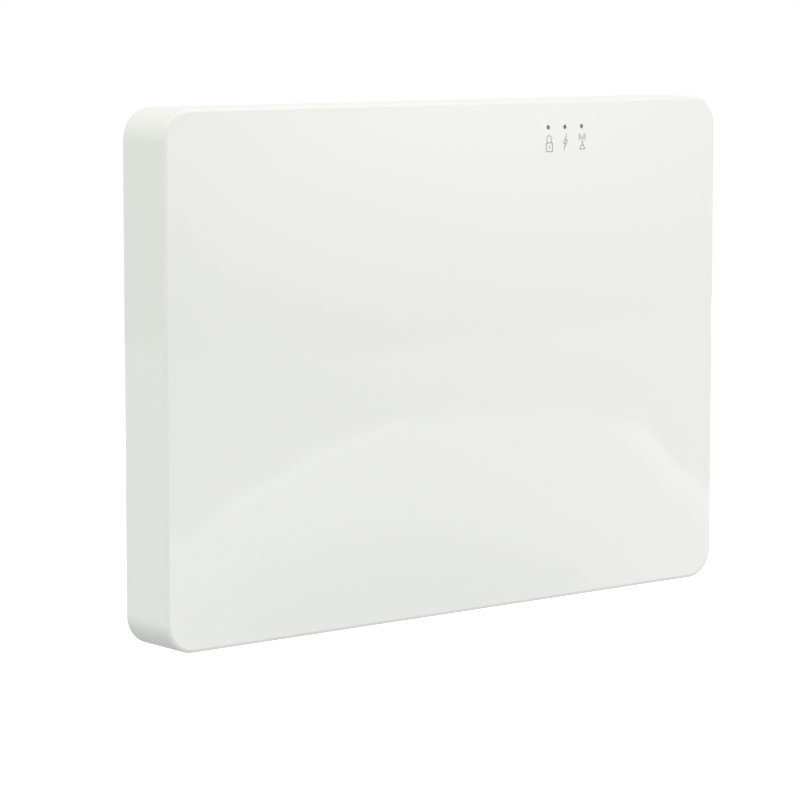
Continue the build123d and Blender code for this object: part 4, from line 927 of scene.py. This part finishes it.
def addDome(mesh, middle):
    rings = []
    for share, lift in padLook["rings"]:
        ring = circle(middle, padLook["radius"] * share, 14)
        rings.append([mesh.verts.new(onBoard(point, lift)) for point in ring])
    for first, second in zip(rings, rings[1:]):
        for i in range(len(first)):
            j = (i + 1) % len(first)
            mesh.faces.new((first[i], first[j], second[j], second[i]))
    mesh.faces.new(rings[-1])


def makeTestPads(material):
    # low domes of solder scattered over the free parts of both boards
    chance = random.Random(padLook["seed"])
    step, jitter = padLook["step"], padLook["jitter"]
    boards = [box for name in boardNames for box in looseParts(name)]
    above = [name for name in nodes if name not in boardNames + padLook["offBoard"]]
    taken = [box for name in above for box in looseParts(name)]
    mesh = bmesh.new()
    for (x0, _, z0), (x1, _, z1) in boards:
        for i in range(int((x1 - x0) / step)):
            for j in range(int((z1 - z0) / step)):
                x = x0 + (i + 0.5 + chance.uniform(-jitter, jitter)) * step
                z = z0 + (j + 0.5 + chance.uniform(-jitter, jitter)) * step
                chosen = chance.random() < padLook["share"]
                onTop = within(boards, x, z, -padLook["boardEdge"]) and meetsBoard(x, z)
                if chosen and onTop and not within(taken, x, z, padLook["clear"]):
                    addDome(mesh, (x, z))
    finishPiece("testPads", mesh, material, "base", True)


cellAxisDepth = 10.3
# a strip ends beyond the axes of its two cells, and changes its height within halfStep of their middle
linkLook = {
    "width": 5.0, "thick": 0.16, "sink": 0.02, "beyond": 3.4, "halfStep": 0.8,
    "nickel": {"colour": (0.68, 0.66, 0.6), "roughness": 0.26, "stretch": (0.06, 1.0, 1.0)},
}


def makeCellLinks():
    # spot-welded strips between neighbouring cells, stepping from one end height to the other
    mesh = bmesh.new()
    look = linkLook
    cells = looseParts("battery_cells")
    depths = (cellAxisDepth - look["width"] / 2, cellAxisDepth + look["width"] / 2)
    sides = [lambda point, depth=depth: Vector((point[0], -depth, point[1])) * mm for depth in depths]
    # every second pair is joined at the top, the others at the foot
    for first, end, way in ((1, 1, 1.0), (0, 0, -1.0)):
        for i in range(first, len(cells) - 1, 2):
            left, right = [(low[0] + high[0]) / 2 for low, high in cells[i:i + 2]]
            leftZ, rightZ = [cell[end][2] for cell in cells[i:i + 2]]
            between = (left + right) / 2
            path = [
                (left - look["beyond"], leftZ), (between - look["halfStep"], leftZ),
                (between + look["halfStep"], rightZ), (right + look["beyond"], rightZ),
            ]
            outline = [(x, z + way * look["sink"]) for x, z in path]
            outline += [(x, z + way * look["thick"]) for x, z in reversed(path)]
            addPrism(mesh, outline, *sides)
    finishPiece("cellLinks", mesh, makeMetal("linkNickel", look["nickel"]), "base")


sealLook = {
    "inner": 2.9, "outer": 5.4, "thick": 0.18, "sink": 0.02, "flatTop": -35.0, "flatFoot": -85.0,
    "card": {"colour": (0.6, 0.61, 0.6), "roughness": 0.7, "mottle": 0.06, "patches": 300.0},
}


def onCellEnd(top):
    # gives a function that places a point, across and in depth, on the flat end of the cells
    flat, way = (sealLook["flatTop"], 1.0) if top else (sealLook["flatFoot"], -1.0)
    return lambda point, lift: Vector((point.x, -point.y, flat + way * lift)) * mm


def makeCellSeals():
    # insulating rings round the caps, which point up on every second cell and down on the others
    mesh = bmesh.new()
    look = sealLook
    for number, (low, high) in enumerate(looseParts("battery_cells")):
        ring = circle(((low[0] + high[0]) / 2, cellAxisDepth), (look["inner"] + look["outer"]) / 2, 32)
        place = onCellEnd(number % 2 == 1)
        addStroke(mesh, ring, look["outer"] - look["inner"], place, look["thick"], look["sink"], True)
    finishPiece("cellSeals", mesh, makeMoulded("sealCard", look["card"]), "base")


tin = makeMetal("solderTin", tinLook)
makeChipLegs(tin)
makeResistorEnds(tin)
makeScrewRings(tin)
makeBoardPrint()
makeTestPads(tin)
makeCellLinks()
makeCellSeals()
print("small parts on the boards and the battery")


# studio: pale floor, white surround, soft lamps; lengths in m
# the floor's gloss fades to fadeTo over fadeBehind in y and over fadeRight in x
studio = {
    "floorDrop": 1.75, "floorHalf": 14.0, "floorColour": (0.54, 0.545, 0.555), "floorLift": 0.8,
    "fadeBehind": (0.2, 1.0), "fadeRight": (-3.5, -1.0), "fadeTo": 0.1,
    "fillAround": 0.835, "fillColour": (0.984, 0.999, 0.967), "glossWhite": 0.92,
}
# azimuth is measured from the front towards the right, elevation from level, both in degrees
# lowFade holds two elevations and the share that is left under the lower one
softboxes = {
    "highKey": {
        "at": (0.71, -0.88, 1.13), "towards": (0.0, 0.0, 0.0), "size": (0.9, 1.8), "radiance": 1.0,
        "colour": (1.0, 0.99, 0.99),
    },
    "frontRight": {
        "at": (1.4, -1.5, -0.05), "towards": (0.0, 0.0, -0.05), "size": (1.9, 1.1), "radiance": 0.52,
        "colour": (1.0, 0.93, 0.93), "azimuthFade": (24.5, 28.7), "elevationRise": (-7.0, 6.0), "rise": 2.8,
        "power": 1.3, "lowFade": (-18.0, -13.0, 0.3),
    },
    "frontLeft": {
        "at": (-1.3, -1.0, 0.3), "towards": (0.0, 0.0, 0.0), "size": (0.9, 0.9), "radiance": 0.7,
        "colour": (0.95, 1.0, 0.88),
    },
    "sideLeft": {
        "at": (-1.3, 0.1, -0.5), "towards": (0.0, 0.0, 0.0), "size": (1.0, 0.9), "radiance": 0.3,
        "colour": (0.25, 1.0, 0.85),
    },
    "topLeft": {
        "at": (-0.9, -0.25, 1.1), "towards": (0.0, 0.0, 0.0), "size": (0.9, 0.9), "radiance": 1.5,
        "colour": (1.0, 0.97, 0.84),
    },
}
# bright table in front, seen only as a soft arch in the gloss of the cover
table = {
    "at": (2.5, -2.0, -0.61), "towards": (2.5, -2.0, 0.0), "size": (3.6, 2.6), "radiance": 0.5,
    "colour": (1.0, 1.0, 1.0), "rim": 1.3, "rimWidth": 0.13, "rimFull": 0.039, "soft": 0.015,
    "corners": [(1.10, -2.50), (2.42, -3.15), (3.02, -2.75), (2.80, -2.47)],
}


def makeWorld():
    # the surround lights the object softly and shows as plain white
    world = bpy.data.worlds.new("studioSurround")
    world.use_nodes = True
    tree = world.node_tree
    tree.nodes.clear()
    rays = addNode(tree, "LightPath").outputs
    direct = calc(tree, "ADD", rays["Is Camera Ray"], rays["Is Transmission Ray"], clamp=True)
    seen = calc(tree, "ADD", direct, rays["Is Glossy Ray"], clamp=True)
    fill = addNode(tree, "Background", {0: (*studio["fillColour"], 1.0), 1: studio["fillAround"]}).outputs[0]
    whiteness = rescale(tree, direct, 0.0, 1.0, studio["glossWhite"], 1.0)
    white = addNode(tree, "Background", {0: (1.0, 1.0, 1.0, 1.0), 1: whiteness}).outputs[0]
    mix = addNode(tree, "MixShader", {0: seen, 1: fill, 2: white}).outputs[0]
    addNode(tree, "OutputWorld", {0: mix})
    bpy.context.scene.world = world


def makeFloor():
    half, drop = studio["floorHalf"], studio["floorDrop"]
    mesh = bmesh.new()
    corners = [(-half, -half), (half, -half), (half, half), (-half, half)]
    mesh.faces.new([mesh.verts.new((x, y, -drop)) for x, y in corners])
    data = bpy.data.meshes.new("floor")
    mesh.to_mesh(data)
    mesh.free()
    material, tree, shader = newMaterial("paleFloor")
    skin = useGroup(tree, mouldedSkin, {
        "Colour": (*studio["floorColour"], 1.0), "Mottle": 0.01, "Patches": 1.5, "Grain": 60.0,
        "Roughness": 0.8,
    })
    plug(tree, shader.inputs["Base Color"], skin["Colour"])
    plug(tree, shader.inputs["Roughness"], skin["Roughness"])
    # behind the object, but not far to its left, the floor is less bright in the gloss
    rays = addNode(tree, "LightPath").outputs
    place = addNode(tree, "SeparateXYZ", {0: addNode(tree, "NewGeometry").outputs["Position"]}).outputs
    behind = calc(tree, "MULTIPLY", rescale(tree, place[1], *studio["fadeBehind"]),
                  rescale(tree, place[0], *studio["fadeRight"]))
    brightness = rescale(tree, behind, 0.0, 1.0, 1.0, studio["fadeTo"])
    seen = calc(tree, "ADD", rays["Is Camera Ray"], calc(tree, "MULTIPLY", rays["Is Glossy Ray"], brightness))
    seen = calc(tree, "ADD", seen, rays["Is Transmission Ray"], clamp=True)
    shader.inputs["Emission Color"].default_value = (1.0, 1.0, 1.0, 1.0)
    plug(tree, shader.inputs["Emission Strength"], calc(tree, "MULTIPLY", seen, studio["floorLift"]))
    data.materials.append(material)
    floor = bpy.data.objects.new("floor", data)
    bpy.context.scene.collection.objects.link(floor)


def lampNodes(lamp):
    # the position on the lamp, and the socket that takes its brightness
    lamp.use_nodes = True
    tree = lamp.node_tree
    place = addNode(tree, "SeparateXYZ", {0: addNode(tree, "NewGeometry").outputs["Position"]}).outputs
    emission = next(node for node in tree.nodes if node.type == "EMISSION")
    return tree, place, emission.inputs["Strength"]


def fadeLamp(lamp, box):
    # the lamp fades in from its left edge, grows brighter upwards and fades out at its foot
    tree, place, strength = lampNodes(lamp)
    ahead = calc(tree, "MULTIPLY", place[1], -1.0)
    azimuth = calc(tree, "DEGREES", calc(tree, "ARCTAN2", place[0], ahead))
    squares = [calc(tree, "POWER", side, 2.0) for side in (place[0], ahead)]
    away = calc(tree, "SQRT", calc(tree, "ADD", *squares))
    elevation = calc(tree, "DEGREES", calc(tree, "ARCTAN2", place[2], away))
    fadeIn = rescale(tree, azimuth, *box["azimuthFade"])
    climb = calc(tree, "POWER", rescale(tree, elevation, *box["elevationRise"]), box["power"])
    growth = calc(tree, "ADD", calc(tree, "MULTIPLY", climb, box["rise"]), 1.0)
    low, high, least = box["lowFade"]
    foot = rescale(tree, elevation, low, high, least, 1.0)
    plug(tree, strength, calc(tree, "MULTIPLY", calc(tree, "MULTIPLY", fadeIn, growth), foot))


def makeLamp(name, box):
    lamp = bpy.data.lights.new(name, "AREA")
    lamp.shape = "RECTANGLE"
    lamp.size, lamp.size_y = box["size"]
    lamp.energy = box["radiance"] * math.pi * box["size"][0] * box["size"][1]
    lamp.color = box["colour"]
    holder = bpy.data.objects.new(name, lamp)
    holder.location = box["at"]
    aim(holder, box["towards"])
    holder.visible_camera = False
    bpy.context.scene.collection.objects.link(holder)
    return lamp


def makeSoftboxes():
    for name, box in softboxes.items():
        lamp = makeLamp(name, box)
        if "azimuthFade" in box:
            fadeLamp(lamp, box)


def makeTableGlow():
    # behind its last corner and inside the edges between its corners the table shines evenly,
    # with a brighter rim along those edges
    tree, place, strength = lampNodes(makeLamp("tableGlow", table))
    inside = None
    for (x0, y0), (x1, y1) in zip(table["corners"], table["corners"][1:]):
        span = math.hypot(x1 - x0, y1 - y0)
        acrossX, acrossY = (y0 - y1) / span, (x1 - x0) / span
        away = calc(tree, "ADD", calc(tree, "MULTIPLY", place[0], acrossX),
                    calc(tree, "MULTIPLY", place[1], acrossY))
        away = calc(tree, "SUBTRACT", away, acrossX * x0 + acrossY * y0)
        inside = away if inside is None else calc(tree, "MINIMUM", inside, away)
    glow = rescale(tree, inside, 0.0, table["soft"])
    rim = rescale(tree, inside, table["rimWidth"], table["rimFull"])
    rim = calc(tree, "ADD", calc(tree, "MULTIPLY", rim, table["rim"]), 1.0)
    lastY = table["corners"][-1][1]
    beside = rescale(tree, place[1], lastY, lastY + table["soft"])
    plug(tree, strength, calc(tree, "MAXIMUM", calc(tree, "MULTIPLY", glow, rim), beside))


makeWorld()
makeFloor()
makeSoftboxes()
makeTableGlow()
bpy.context.scene.view_settings.view_transform = "Standard"
print("studio set up")
